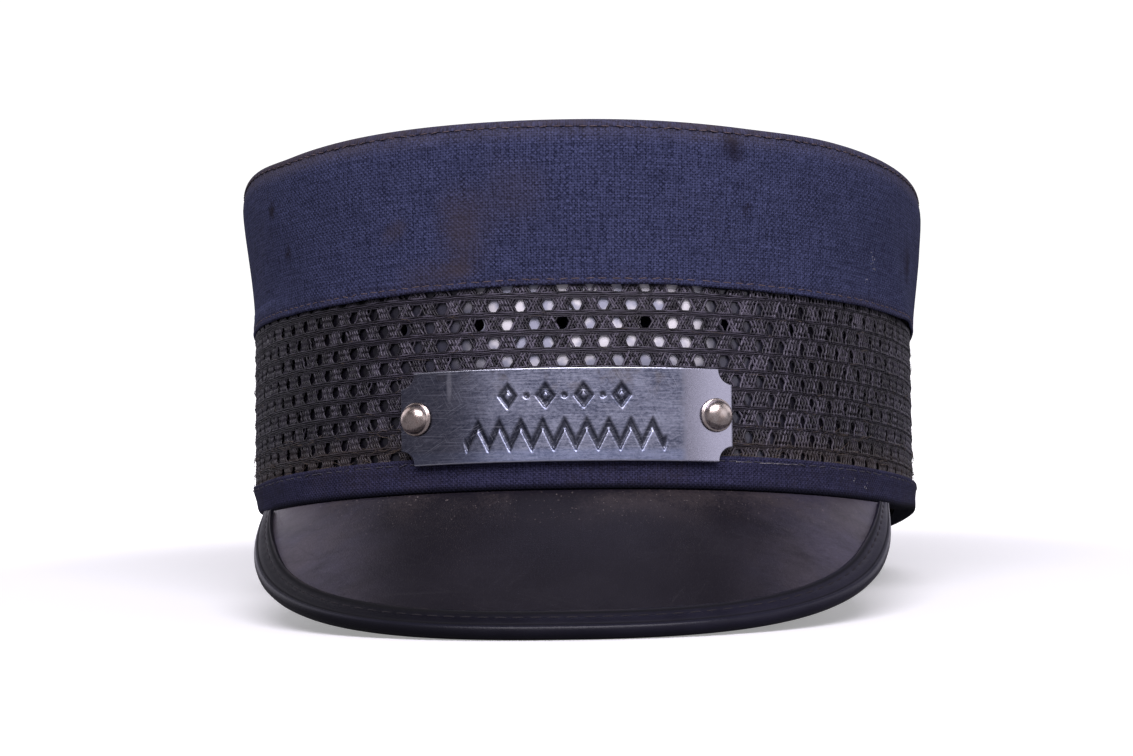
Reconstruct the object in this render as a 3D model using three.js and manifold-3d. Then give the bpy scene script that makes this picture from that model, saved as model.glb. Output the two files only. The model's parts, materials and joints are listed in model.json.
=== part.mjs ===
// A railway conductor's summer cap: a stiff pillbox of navy cloth whose sides are a band of open black
// straw plait over a smooth liner, with a short curved visor bound in leather and a metal badge plate.
// It lies as it would on a table, on the visor's front edge and the back of its rim. The front faces -Y.
// Everything is in millimetres. The cap is built upright, its rim in the plane z = 0, and tilted last.
import * as THREE from "three";
import { mergeVertices } from "three/addons/utils/BufferGeometryUtils.js";
import Module from "manifold-3d";

const wasm = await Module();
wasm.setup();

// The head oval, measured at the outside of the straw band.
const headHalfWidth = 86;
const headHalfDepth = 102.3;
const ovalPower = 2.135; // 2 is an ellipse, and more is squarer
const roundSteps = 44; // facets round the cap

// Heights above the rim.
const rimBandHeight = 8.2; // lower cloth band, from the rim to its folded edge
const strawHeight = 40; // straw that shows between the two cloth bands
const crownFrontHeight = 39.8; // upper cloth band at the front, from its hem to the top
const crownBackHeight = 30.2;
const crownLean = 1; // how much lower the crown is at its +X side than at its -X side
const hemOverlap = 5; // straw hidden behind the upper band's hem
const sweatbandHeight = 36;

// Walls and the gap that keeps neighbouring pieces apart.
const clothWall = 1;
const crownWall = 2.6; // cloth over its stiffening
const topWall = 2;
const strawWall = 1;
const linerWall = 1;
const leatherWall = 1.2;
const gap = 0.3;

// The straw band: rows of plait with a raised lower edge, and gaps in every second row.
const plaitRows = 9;
const plaitRelief = 0.35;
const gapsRound = 22;
const gapWidth = 6;
const gapFlat = 3.6; // length of a gap's straight top and bottom
const gapHeight = 2.7;

// The crown's flare and its slightly domed top.
const crownFlare = 2.1;
const topDome = 1;
const topEdgeRound = 1.4;
const topEdgeFacets = 3;
const topRings = [0.85, 0.6, 0.3]; // shares of the way out from the middle

// The visor, a sheet that leaves the rim and slopes down, in one curve from end to end.
const visorReach = 53.7; // at the centre, along the sheet
const visorEndDepth = 46; // how far in front of the cap's middle the visor ends
const visorSlopeFront = 43.4; // degrees below the rim's plane
const visorSlopeEnd = 38;
const visorCurvePower = 2.4; // more makes the front edge flatter
const visorTaperPower = 1.7; // more makes the ends run out more thinly
const visorFan = 1.58; // more than 1 turns the sheet outwards at its ends
const panelEnd = 0.94; // share of the binding's half-length that the panel fills
const visorWall = 1.4;
const bindingWall = 1;
const bindingWidth = 6;
const visorSteps = 32; // facets along the visor's edge
const visorAcross = 3; // facets from the rim to the edge
const bindingNose = 0.75; // length of the binding's rounded edge, as a share of half its thickness
const bindingCorner = { in: 0.3, up: 0.72 }; // the same edge's corner, as shares of its length and rise
const bindingDrop = 0.3; // how far the binding thins to its inner edge, as a share of its wall

// The badge plate and its two rivets.
const badgeWidth = 81.5; // along its curve
const badgeHeight = 22.4;
const badgeWall = 0.9;
const badgeMiddleHeight = 17.6; // above the rim
const notchRadius = 3.7;
const notchSteps = 4; // facets round a notch
const badgeSteps = 20; // facets along the plate between its notches
const rivetInset = 3.95; // from the badge's end, along the curve
const rivetShankRadius = 1.4;
const rivetHeadRadius = 3.1;
const rivetFlangeRadius = 4;
const rivetHeadHeight = 2.6;
const rivetFlangeThick = 0.3;
const rivetHeadBrim = { wide: 3.35, high: 0.5 }; // where the flange meets the head
const rivetDomeStart = 0.65; // height of the straight part of the head
const rivetDomeSteps = 4;
const rivetTailRadius = 2.6;
const rivetTailHeight = 0.7;
const rivetSides = 12;

// The pattern stamped in the badge: a row of lozenges and dots above a row of chevrons.
const stampDepth = 0.35;
const stampStroke = 1.2;
const lozengeCount = 4;
const lozengeWidth = 4.6;
const lozengeHeight = 6.2;
const lozengePitch = 9;
const lozengeRowHeight = 4.6; // above the badge's middle
const dotSides = 6;
const chevronCount = 9;
const chevronPitch = 5.2;
const chevronHeight = 6.4;
const chevronRowHeight = -4.6;

// Offsets outwards from the head oval, which is the crest of the plait.
const strawInner = -(plaitRelief + strawWall);
const linerOuter = strawInner - gap;
const linerInner = linerOuter - linerWall;
const sweatbandOuter = linerInner - rivetTailHeight - 2 * gap;
const sweatbandInner = sweatbandOuter - leatherWall;
const hemInner = gap;
const hemOuter = hemInner + clothWall;
const badgeInner = hemOuter + gap;
const badgeOuter = badgeInner + badgeWall;

const strawTop = rimBandHeight + strawHeight;
const floorTop = clothWall + gap; // what stands on the turned-under rim starts here

const materials = {
  cloth: new THREE.MeshStandardMaterial({ color: 0x1b1f3d, roughness: 0.9, metalness: 0 }),
  straw: new THREE.MeshStandardMaterial({ color: 0x17151a, roughness: 0.6, metalness: 0 }),
  liner: new THREE.MeshStandardMaterial({ color: 0x24242b, roughness: 0.2, metalness: 0 }),
  visor: new THREE.MeshStandardMaterial({ color: 0x1e1a1f, roughness: 0.55, metalness: 0 }),
  binding: new THREE.MeshStandardMaterial({ color: 0x0f0e13, roughness: 0.3, metalness: 0 }),
  leather: new THREE.MeshStandardMaterial({ color: 0x2a1c15, roughness: 0.6, metalness: 0 }),
  badge: new THREE.MeshStandardMaterial({ color: 0x9a9daa, roughness: 0.25, metalness: 1 }),
  rivet: new THREE.MeshStandardMaterial({ color: 0xb3a797, roughness: 0.25, metalness: 1 }),
};

// One point of the head oval and the direction straight out of it. The angle runs from the front to +X.
function ovalAt(angle) {
  const bend = (value) => Math.sign(value) * Math.abs(value) ** (2 / ovalPower);
  const x = headHalfWidth * bend(Math.sin(angle));
  const y = -headHalfDepth * bend(Math.cos(angle));
  const slope = (value, half) =>
    (Math.sign(value) * Math.abs(value / half) ** (ovalPower - 1)) / half;
  const out = new THREE.Vector2(slope(x, headHalfWidth), slope(y, headHalfDepth)).normalize();
  return { x, y, out };
}

// The point at that angle, pushed out by offset and up to height.
function onOval(angle, offset, height) {
  const { x, y, out } = ovalAt(angle);
  return new THREE.Vector3(x + out.x * offset, y + out.y * offset, height);
}

// The angle at which the oval, pushed out by offset, is a given length along from the front.
function angleAlong(length, offset) {
  const steps = 400;
  let angle = 0;
  let travelled = 0;
  let here = onOval(0, offset, 0);
  const turn = (Math.sign(length) * Math.PI) / 2 / steps;
  while (travelled < Math.abs(length)) {
    const next = onOval(angle + turn, offset, 0);
    const step = next.distanceTo(here);
    const share = Math.min(1, (Math.abs(length) - travelled) / step);
    angle += turn * share;
    travelled += step;
    here = next;
  }
  return angle;
}

// The top's underside plane: it slopes from the front to the back, and a little to one side.
function crownTopHeight(x, y) {
  const middle = (crownFrontHeight + crownBackHeight) / 2;
  const slope = (crownFrontHeight - crownBackHeight) / 2 / headHalfDepth;
  return strawTop + middle - slope * y - (crownLean / 2) * (x / headHalfWidth);
}

// A closed surface over rows of points. Each row is a loop with as many points as the next.
// ends is "wrap" when the last row meets the first, "pole" when the first and last rows are single
// points, or "cap" to fill both end loops, whose flat outline is capOutline, counter-clockwise.
function skin(rows, ends, capOutline) {
  const positions = [];
  const faces = [];
  const starts = [];
  for (const row of rows) {
    starts.push(positions.length / 3);
    for (const point of row) positions.push(point.x, point.y, point.z);
  }
  const pairs = ends === "wrap" ? rows.length : rows.length - 1;
  for (let i = 0; i < pairs; i += 1) {
    const j = (i + 1) % rows.length;
    const count = Math.max(rows[i].length, rows[j].length);
    for (let k = 0; k < count; k += 1) {
      const next = (k + 1) % count;
      const a = starts[i] + (k % rows[i].length);
      const b = starts[i] + (next % rows[i].length);
      const c = starts[j] + (next % rows[j].length);
      const d = starts[j] + (k % rows[j].length);
      if (a !== b) faces.push(a, b, c);
      if (c !== d) faces.push(a, c, d);
    }
  }
  if (ends === "cap") {
    for (const [p, q, r] of THREE.ShapeUtils.triangulateShape(capOutline, [])) {
      const last = starts[rows.length - 1];
      faces.push(r, q, p, last + p, last + q, last + r);
    }
  }
  return facingOut(positions, faces);
}

// A flat outline for a loop that has no hollow side.
function roundOutline(count) {
  return Array.from({ length: count }, (_, k) => {
    const turn = (k / count) * 2 * Math.PI;
    return new THREE.Vector2(Math.cos(turn), Math.sin(turn));
  });
}

// The geometry with its faces turned so that its volume is positive.
function facingOut(positions, faces) {
  const corner = (i) => new THREE.Vector3().fromArray(positions, faces[i] * 3);
  let volume = 0;
  for (let i = 0; i < faces.length; i += 3) {
    volume += corner(i).dot(corner(i + 1).cross(corner(i + 2)));
  }
  if (volume < 0) faces.reverse();
  return new THREE.BufferGeometry()
    .setAttribute("position", new THREE.Float32BufferAttribute(positions, 3))
    .setIndex(faces);
}

// To and from a solid that can be cut.
function solidOf(geometry) {
  const bare = geometry.clone();
  bare.deleteAttribute("normal");
  bare.deleteAttribute("uv");
  const merged = mergeVertices(bare, 1e-4);
  return new wasm.Manifold(
    new wasm.Mesh({
      numProp: 3,
      vertProperties: merged.attributes.position.array,
      triVerts: new Uint32Array(merged.index.array),
    }),
  );
}

function geometryOf(solid) {
  const mesh = solid.getMesh();
  return new THREE.BufferGeometry()
    .setAttribute("position", new THREE.BufferAttribute(mesh.vertProperties, 3))
    .setIndex(new THREE.BufferAttribute(mesh.triVerts, 1));
}

function cut(geometry, cutters) {
  const solid = cutters.reduce((left, cutter) => left.subtract(solidOf(cutter)), solidOf(geometry));
  return geometryOf(solid);
}

// A ring round the head. section(angle) gives its closed section as [offset, height] pairs.
function ring(section) {
  const rows = [];
  for (let i = 0; i < roundSteps; i += 1) {
    const angle = (i / roundSteps) * 2 * Math.PI;
    rows.push(section(angle).map(([offset, height]) => onOval(angle, offset, height)));
  }
  return skin(rows, "wrap");
}

// A prism that stands on the band: an outline of [along, up] pairs, bent round the oval, between two
// offsets. along is measured from the front, and up from the rim.
function prismOnBand(outline, from, to) {
  const place = (offset) =>
    outline.map(([along, up]) => onOval(angleAlong(along, (from + to) / 2), offset, up));
  const flat = outline.map(([along, up]) => new THREE.Vector2(along, up));
  return skin([place(from), place(to)], "cap", flat);
}

// The upper cloth band: a thick wall whose lower hem hangs over the straw.
const crownProfile = [
  // up is a share of the band's height, flare a share of crownFlare
  { up: 0, flare: 0 },
  { up: 0.17, flare: 0.14 },
  { up: 0.45, flare: 0.5 },
  { up: 0.78, flare: 0.94 },
  { up: 0.93, flare: 1 },
  { up: 1, flare: 0.93 },
];

function crownSection(angle) {
  const edge = onOval(angle, hemOuter + crownFlare, 0);
  const top = crownTopHeight(edge.x, edge.y) - topWall - gap;
  const heightOf = (up) => strawTop + up * (top - strawTop);
  const hemTop = strawTop + hemOverlap + gap;
  const outside = crownProfile.map(({ up, flare }) => [
    hemOuter + flare * crownFlare,
    heightOf(up),
  ]);
  const inside = [
    [hemOuter + crownFlare - crownWall, top],
    [hemOuter + crownProfile[1].flare * crownFlare - crownWall, hemTop],
    [hemInner, hemTop],
    [hemInner, strawTop],
  ];
  return [...outside, ...inside];
}

// The top: a cloth disc with a rounded edge and a slight dome, flat underneath.
function crownTop() {
  const edgeOffset = hemOuter + crownFlare;
  const rounding = Array.from({ length: topEdgeFacets + 1 }, (_, i) => {
    const turn = (i / topEdgeFacets) * (Math.PI / 2);
    return {
      inset: topEdgeRound * (1 - Math.cos(turn)),
      drop: topEdgeRound * (1 - Math.sin(turn)),
    };
  });
  const point = (angle, share, inset, height) => {
    const edge = onOval(angle, edgeOffset - inset, 0);
    const x = edge.x * share;
    const y = edge.y * share;
    return new THREE.Vector3(x, y, crownTopHeight(x, y) + height);
  };
  const loop = (share, inset, height) =>
    Array.from({ length: roundSteps }, (_, i) =>
      point((i / roundSteps) * 2 * Math.PI, share, inset, height),
    );
  const centre = (height) => [new THREE.Vector3(0, 0, crownTopHeight(0, 0) + height)];
  return skin(
    [
      centre(-topWall),
      loop(1, 0, -topWall),
      ...rounding.map(({ inset, drop }) => loop(1, inset, -drop)),
      ...topRings.map((share) => loop(share, topEdgeRound, topDome * (1 - share ** 2))),
      centre(topDome),
    ],
    "pole",
  );
}

// The straw band: each row of plait leans out to a raised lower edge, like lapped boards. Plain straw
// runs on behind the cloth bands.
const plaitPitch = strawHeight / plaitRows;
const plaitStep = 0.12; // share of a row taken by its raised edge
const plaitMiddle = (1 + plaitStep) / 2; // share of a row up to the middle of its leaning face

function strawSection() {
  const outside = [];
  for (let row = 0; row < plaitRows; row += 1) {
    const foot = rimBandHeight + row * plaitPitch;
    outside.push([-plaitRelief, foot], [0, foot + plaitPitch * plaitStep]);
  }
  return [
    [strawInner, floorTop],
    [-plaitRelief, floorTop],
    ...outside,
    [-plaitRelief, strawTop],
    [-plaitRelief, strawTop + hemOverlap],
    [strawInner, strawTop + hemOverlap],
  ];
}

// Elongated six-sided gaps in each second row, set half a step on from one such row to the next.
function plaitGaps() {
  const cutters = [];
  const half = gapWidth / 2;
  const shoulder = gapFlat / 2;
  const outline = [
    [-half, 0],
    [-shoulder, -gapHeight / 2],
    [shoulder, -gapHeight / 2],
    [half, 0],
    [shoulder, gapHeight / 2],
    [-shoulder, gapHeight / 2],
  ];
  const flat = outline.map(([along, up]) => new THREE.Vector2(along, up));
  for (let row = 1; row < plaitRows; row += 2) {
    const middle = rimBandHeight + (row + plaitMiddle) * plaitPitch;
    const start = row % 4 === 1 ? 0.25 : 0.75;
    for (let i = 0; i < gapsRound; i += 1) {
      const angle = ((i + start) / gapsRound) * 2 * Math.PI;
      const { x, y, out } = ovalAt(angle);
      const loop = (offset) =>
        outline.map(
          ([along, up]) =>
            new THREE.Vector3(
              x + out.x * offset - out.y * along,
              y + out.y * offset + out.x * along,
              middle + up,
            ),
        );
      cutters.push(skin([loop(strawInner - 1), loop(1)], "cap", flat));
    }
  }
  return cutters;
}

// The lower cloth band: turned under at the rim and folded over at its top edge.
const rimProfile = [
  // up is a share of the band's height, in a share of the cloth's thickness
  { up: 0, in: 1.1 },
  { up: 0.09, in: 0.4 },
  { up: 0.45, in: 0.3 },
  { up: 0.86, in: 0 },
  { up: 1, in: 0.2 },
];

function rimSection() {
  const outside = rimProfile.map((point) => [
    hemOuter - point.in * clothWall,
    point.up * rimBandHeight,
  ]);
  return [
    [sweatbandInner, 0],
    ...outside,
    [hemInner, rimBandHeight],
    [hemInner, clothWall],
    [sweatbandInner, clothWall],
  ];
}

function wallSection(inner, outer, foot, top) {
  return () => [
    [inner, foot],
    [outer, foot],
    [outer, top],
    [inner, top],
  ];
}

// The visor's middle surface. u runs from -1 to 1 round the front, and out is a length down the sheet.
const visorEndAngle = Math.acos((visorEndDepth / headHalfDepth) ** (ovalPower / 2));

function visorDirection(u) {
  const { out } = ovalAt(u * visorEndAngle);
  const plan = new THREE.Vector2(out.x * visorFan, out.y).normalize();
  const slope = THREE.MathUtils.degToRad(
    visorSlopeFront + (visorSlopeEnd - visorSlopeFront) * u * u,
  );
  return new THREE.Vector3(
    plan.x * Math.cos(slope),
    plan.y * Math.cos(slope),
    -Math.sin(slope),
  );
}

function visorPoint(u, out) {
  return onOval(u * visorEndAngle, 0, 0).addScaledVector(visorDirection(u), out);
}

const visorLength = (u) =>
  visorReach * Math.max(0, 1 - Math.abs(u) ** visorCurvePower) ** visorTaperPower;
const visorEdge = (u) => visorPoint(u, visorLength(u));

// Directions at the visor's outer edge: along it, up out of the sheet, and inwards across it.
const smallStep = 1e-3; // change of u over which the edge's direction is measured

function edgeFrame(u) {
  const along = visorEdge(u + smallStep).sub(visorEdge(u - smallStep)).normalize();
  const up = new THREE.Vector3().crossVectors(visorDirection(u), along).normalize();
  const inwards = new THREE.Vector3().crossVectors(up, along).normalize();
  if (up.z < 0) up.negate();
  if (inwards.dot(visorDirection(u)) > 0) inwards.negate();
  return { along, up, inwards };
}

// Everything above the rim's plane, less the gap, which is cut off the visor so that it seats there.
function aboveRim() {
  const reach = headHalfDepth + visorReach;
  const box = new THREE.BoxGeometry(2 * reach, 2 * reach, reach);
  return box.translate(0, 0, reach / 2 - gap);
}

// The visor's panel stops inside the binding's fold.
const leastFacing = 0.4; // least share of the inset counted square to the edge, near its ends

function visorPanel() {
  const rows = [];
  const rootRise = visorWall; // runs up past the cut, so that the cut face is whole
  const leastRun = gap;
  for (let i = 0; i <= visorSteps; i += 1) {
    const u = panelEnd * ((2 * i) / visorSteps - 1);
    const { inwards, along } = edgeFrame(u);
    const direction = visorDirection(u);
    const up = new THREE.Vector3().crossVectors(along, direction).normalize();
    if (up.z < 0) up.negate();
    const inset = (bindingWall + gap) / Math.max(leastFacing, -inwards.dot(direction));
    const end = Math.max(visorLength(u) - inset, leastRun);
    const line = Array.from({ length: visorAcross + 1 }, (_, k) =>
      visorPoint(u, -rootRise + ((end + rootRise) * k) / visorAcross),
    );
    const upper = line.map((point) => point.clone().addScaledVector(up, visorWall / 2));
    const lower = line.map((point) => point.clone().addScaledVector(up, -visorWall / 2));
    rows.push([...upper, ...lower.reverse()]);
  }
  return cut(skin(rows, "cap", roundOutline(rows[0].length)), [aboveRim()]);
}

// The binding folds round the outer edge. Its section is in lengths inwards from the edge and up.
function bindingSection() {
  const slot = visorWall / 2 + gap;
  const face = slot + bindingWall;
  const nose = face * bindingNose;
  const corner = { in: nose * bindingCorner.in, up: face * bindingCorner.up };
  const thin = face - bindingWall * bindingDrop;
  return [
    [bindingWidth, slot],
    [bindingWidth, thin],
    [nose, face],
    [corner.in, corner.up],
    [0, 0],
    [corner.in, -corner.up],
    [nose, -face],
    [bindingWidth, -thin],
    [bindingWidth, -slot],
    [bindingWall, -slot],
    [bindingWall, slot],
  ];
}

function visorBinding() {
  const outline = bindingSection();
  const rows = [];
  for (let i = 0; i <= visorSteps; i += 1) {
    const u = (2 * i) / visorSteps - 1;
    const { up, inwards } = edgeFrame(u);
    rows.push(
      outline.map(([inset, rise]) =>
        visorEdge(u).addScaledVector(inwards, inset).addScaledVector(up, rise),
      ),
    );
  }
  const flat = outline.map(([inset, rise]) => new THREE.Vector2(inset, rise));
  return cut(skin(rows, "cap", flat), [aboveRim()]);
}

// The badge plate: its ends are narrowed by a quarter-round notch at each corner.
function badgePlate() {
  const half = badgeWidth / 2;
  const places = [];
  for (let i = 0; i <= notchSteps; i += 1) {
    const turn = (i / notchSteps) * (Math.PI / 2);
    places.push({
      along: half - notchRadius * Math.sin(turn),
      tall: badgeHeight / 2 - notchRadius * Math.cos(turn),
    });
  }
  const inner = half - notchRadius;
  for (let i = 1; i < badgeSteps; i += 1) {
    places.push({ along: inner * (1 - (2 * i) / badgeSteps), tall: badgeHeight / 2 });
  }
  const mirrored = places.slice(0, notchSteps + 1).reverse();
  for (const { along, tall } of mirrored) places.push({ along: -along, tall });
  const rows = places.map(({ along, tall }) => {
    const angle = angleAlong(along, badgeInner);
    return [
      onOval(angle, badgeInner, badgeMiddleHeight - tall),
      onOval(angle, badgeOuter, badgeMiddleHeight - tall),
      onOval(angle, badgeOuter, badgeMiddleHeight + tall),
      onOval(angle, badgeInner, badgeMiddleHeight + tall),
    ];
  });
  return skin(rows, "cap", roundOutline(4));
}

// The stamped marks, as cutters that sink stampDepth into the plate's face.
function stamps() {
  const from = badgeOuter - stampDepth;
  const to = badgeOuter + 1;
  const upperRow = badgeMiddleHeight + lozengeRowHeight;
  const lozenge = (along, share) => [
    [along - (share * lozengeWidth) / 2, upperRow],
    [along, upperRow - (share * lozengeHeight) / 2],
    [along + (share * lozengeWidth) / 2, upperRow],
    [along, upperRow + (share * lozengeHeight) / 2],
  ];
  const reach = (lozengeWidth * lozengeHeight) / 2 / Math.hypot(lozengeWidth, lozengeHeight);
  const hollow = 1 - stampStroke / reach; // share of a lozenge that its line leaves in the middle
  const marks = [];
  for (let i = 0; i < lozengeCount; i += 1) {
    const along = (i - (lozengeCount - 1) / 2) * lozengePitch;
    const middle = prismOnBand(lozenge(along, hollow), from - 1, to + 1);
    marks.push(cut(prismOnBand(lozenge(along, 1), from, to), [middle]));
    if (i === lozengeCount - 1) continue;
    const dot = roundOutline(dotSides).map(({ x, y }) => [
      along + lozengePitch / 2 + (stampStroke / 2) * x,
      upperRow + (stampStroke / 2) * y,
    ]);
    marks.push(prismOnBand(dot, from, to));
  }
  const lowerRow = badgeMiddleHeight + chevronRowHeight;
  const upper = [];
  const lower = [];
  for (let k = 0; k <= 2 * chevronCount; k += 1) {
    const along = (k / 2 - chevronCount / 2) * chevronPitch;
    const height = lowerRow + (k % 2 ? 0.5 : -0.5) * (chevronHeight - stampStroke);
    upper.push([along, height + stampStroke / 2]);
    lower.push([along, height - stampStroke / 2]);
  }
  marks.push(prismOnBand([...lower, ...upper.reverse()], from, to));
  return marks;
}

// A solid turned about the axis that leaves the band square at a place along it. The profile is
// [radius, offset] pairs, the first and last of them on the axis.
function turnedOnBand(along, profile) {
  const angle = angleAlong(along, badgeOuter);
  const { out } = ovalAt(angle);
  const side = new THREE.Vector3(-out.y, out.x, 0);
  const up = new THREE.Vector3(0, 0, 1);
  const rows = profile.map(([radius, offset]) => {
    const centre = onOval(angle, offset, badgeMiddleHeight);
    if (radius === 0) return [centre];
    return Array.from({ length: rivetSides }, (_, k) => {
      const turn = (k / rivetSides) * 2 * Math.PI;
      return centre
        .clone()
        .addScaledVector(side, radius * Math.cos(turn))
        .addScaledVector(up, radius * Math.sin(turn));
    });
  });
  return skin(rows, "pole");
}

function rivet(along) {
  const seat = badgeOuter + gap;
  const dome = Array.from({ length: rivetDomeSteps }, (_, i) => {
    const turn = (i / rivetDomeSteps) * (Math.PI / 2);
    const rise = (rivetHeadHeight - rivetDomeStart) * Math.sin(turn);
    return [rivetHeadRadius * Math.cos(turn), seat + rivetDomeStart + rise];
  });
  return turnedOnBand(along, [
    [0, linerInner - gap - rivetTailHeight],
    [rivetTailRadius, linerInner - gap - rivetTailHeight],
    [rivetTailRadius, linerInner - gap],
    [rivetShankRadius, linerInner - gap],
    [rivetShankRadius, seat],
    [rivetFlangeRadius, seat],
    [rivetFlangeRadius, seat + rivetFlangeThick],
    [rivetHeadBrim.wide, seat + rivetHeadBrim.high],
    ...dome,
    [0, seat + rivetHeadHeight],
  ]);
}

// The hole that the rivet's shank needs, right through everything it passes.
function rivetHole(along) {
  const radius = rivetShankRadius + gap;
  const inside = sweatbandOuter - gap / 2;
  return turnedOnBand(along, [
    [0, inside],
    [radius, inside],
    [radius, badgeOuter + 1],
    [0, badgeOuter + 1],
  ]);
}

const rivetPlace = badgeWidth / 2 - rivetInset;
const rivetPlaces = { rivet_left: -rivetPlace, rivet_right: rivetPlace };
const rivetHoles = Object.values(rivetPlaces).map(rivetHole);

// The cap, upright.
const cap = new THREE.Group();

function add(name, geometry, material) {
  const mesh = new THREE.Mesh(geometry, material);
  mesh.name = name;
  cap.add(mesh);
  return mesh;
}

add("crown_top", crownTop(), materials.cloth);
add("crown_side", ring(crownSection), materials.cloth);
add("straw_band", cut(ring(strawSection), [...plaitGaps(), ...rivetHoles]), materials.straw);
add(
  "liner",
  cut(ring(wallSection(linerInner, linerOuter, floorTop, strawTop + hemOverlap)), rivetHoles),
  materials.liner,
);
const rimBand = add("rim_band", ring(rimSection), materials.cloth);
add(
  "sweatband",
  ring(wallSection(sweatbandInner, sweatbandOuter, floorTop, floorTop + sweatbandHeight)),
  materials.leather,
);
add("visor", visorPanel(), materials.visor);
const binding = add("visor_binding", visorBinding(), materials.binding);
add("badge", cut(badgePlate(), [...stamps(), ...rivetHoles]), materials.badge);
for (const [name, along] of Object.entries(rivetPlaces)) {
  add(name, rivet(along), materials.rivet);
}

// The backward tilt at which the rim's back and the visor's front both meet the table.
function corners(mesh) {
  const position = mesh.geometry.getAttribute("position");
  return Array.from({ length: position.count }, (_, i) =>
    new THREE.Vector3().fromBufferAttribute(position, i),
  );
}

function restingTilt() {
  const heightOf = (point, tilt) => point.z * Math.cos(tilt) - point.y * Math.sin(tilt);
  let tilt = 0;
  for (let round = 0; round < 6; round += 1) {
    const back = corners(rimBand).reduce((low, point) =>
      heightOf(point, tilt) < heightOf(low, tilt) ? point : low,
    );
    tilt = Math.max(
      ...corners(binding).map((point) => Math.atan2(back.z - point.z, back.y - point.y)),
    );
  }
  return tilt;
}

// Tilted, and set down with the middle of its box over the origin.
cap.rotation.x = -restingTilt();
const conductorCap = new THREE.Group();
conductorCap.add(cap);
conductorCap.updateMatrixWorld(true);
const box = new THREE.Box3().setFromObject(conductorCap, true);
cap.position.set(-(box.min.x + box.max.x) / 2, -(box.min.y + box.max.y) / 2, -box.min.z);

export default conductorCap;
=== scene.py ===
"""A railway conductor's summer cap: navy cloth over a band of open black straw plait, a bound leather
visor and a metal badge plate. Metres throughout. The cap leans back on its visor and the back of its
rim, so most places are given in the cap's own upright frame and turned into the world's last."""
import json
import math

import bmesh
import bpy
import numpy as np
from mathutils import Matrix, Vector

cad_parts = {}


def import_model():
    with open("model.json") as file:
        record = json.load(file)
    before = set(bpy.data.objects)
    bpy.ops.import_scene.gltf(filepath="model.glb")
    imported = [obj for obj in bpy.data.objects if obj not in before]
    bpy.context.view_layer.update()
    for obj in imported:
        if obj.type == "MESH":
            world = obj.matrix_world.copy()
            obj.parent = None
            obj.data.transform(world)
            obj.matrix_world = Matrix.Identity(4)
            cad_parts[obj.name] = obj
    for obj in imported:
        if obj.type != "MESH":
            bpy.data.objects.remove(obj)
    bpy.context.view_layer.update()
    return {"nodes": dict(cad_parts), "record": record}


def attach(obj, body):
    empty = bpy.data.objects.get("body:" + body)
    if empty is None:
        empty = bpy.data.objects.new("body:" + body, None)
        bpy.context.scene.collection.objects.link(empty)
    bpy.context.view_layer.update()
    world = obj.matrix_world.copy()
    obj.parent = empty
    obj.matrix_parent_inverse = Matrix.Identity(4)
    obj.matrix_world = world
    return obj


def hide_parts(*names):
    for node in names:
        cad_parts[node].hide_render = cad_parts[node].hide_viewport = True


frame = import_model()

MM = 0.001
TURN = 2 * math.pi


# The cap's own frame, taken from its solids

def unit(vector):
    return np.array(vector, float) / np.linalg.norm(vector)


rim_face = next(m for m in frame["record"]["mounts"] if m["name"] == "rim_face")
CAP_UP = -unit(rim_face["axis"])
CAP_RIGHT = np.array([1.0, 0.0, 0.0])
CAP_BACK = np.cross(CAP_UP, CAP_RIGHT)
CAP_AXES = np.stack([CAP_RIGHT, CAP_BACK, CAP_UP])


def upright_points(node):
    """A solid's corners in the cap's own axes."""
    corners = np.array([v.co for v in frame["nodes"][node].data.vertices], float)
    return corners @ CAP_AXES.T


def upright_box(node):
    corners = upright_points(node)
    return corners.min(0), corners.max(0)


rim_low, rim_high = upright_box("rim_band")
straw_low, straw_high = upright_box("straw_band")
RIM_CENTRE = np.array([0.0, (rim_low[1] + rim_high[1]) / 2, rim_low[2]])
HALF_WIDTH = (straw_high[0] - straw_low[0]) / 2
HALF_DEPTH = (straw_high[1] - straw_low[1]) / 2
RIM_TOP = rim_high[2] - rim_low[2]
HEM = upright_box("crown_side")[0][2] - rim_low[2]
STRAW_TOP = straw_high[2] - rim_low[2]
SWEATBAND_TOP = upright_box("sweatband")[1][2] - rim_low[2]

# Sizes that the pieces share with their solids
OVAL_POWER = 2.135
GAP = 0.3 * MM
HEM_INNER = 0.12 * MM
HEM_OUTER = 0.75 * MM
BAND_OUTER = 0.8 * MM
CROWN_FLARE = 2.45 * MM
CROWN_WALL = 2.6 * MM
TOP_WALL = 2.0 * MM
TOP_ROUND = 1.9 * MM
TOP_INSET = 0.35 * MM  # how far the top's edge stays inside the crown's widest line
TOP_DOME = 1.0 * MM
LINER_OUTER = -1.15 * MM
LINER_WALL = 1.0 * MM
SWEATBAND_OUTER = -3.95 * MM
SWEATBAND_WALL = 1.2 * MM
FLOOR_TOP = 1.3 * MM
BADGE_INNER = 1.6 * MM
BADGE_WALL = 0.9 * MM
ROUND_STEPS = 600  # columns round the head on the finest pieces


def world(points):
    """Upright points, measured from the middle of the rim's plane, in the world."""
    return (points + RIM_CENTRE) @ CAP_AXES


def oval(angle):
    """Points of the head oval and the directions straight out of it. 0 is the front, and + is to +X."""
    def bend(value):
        return np.sign(value) * np.abs(value) ** (2 / OVAL_POWER)

    def slope(value, half):
        return np.sign(value) * np.abs(value / half) ** (OVAL_POWER - 1) / half

    x = HALF_WIDTH * bend(np.sin(angle))
    y = -HALF_DEPTH * bend(np.cos(angle))
    out_x, out_y = slope(x, HALF_WIDTH), slope(y, HALF_DEPTH)
    length = np.hypot(out_x, out_y)
    return x, y, out_x / length, out_y / length


def smooth(value, low, high):
    share = np.clip((value - low) / (high - low), 0, 1)
    return share * share * (3 - 2 * share)


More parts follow.
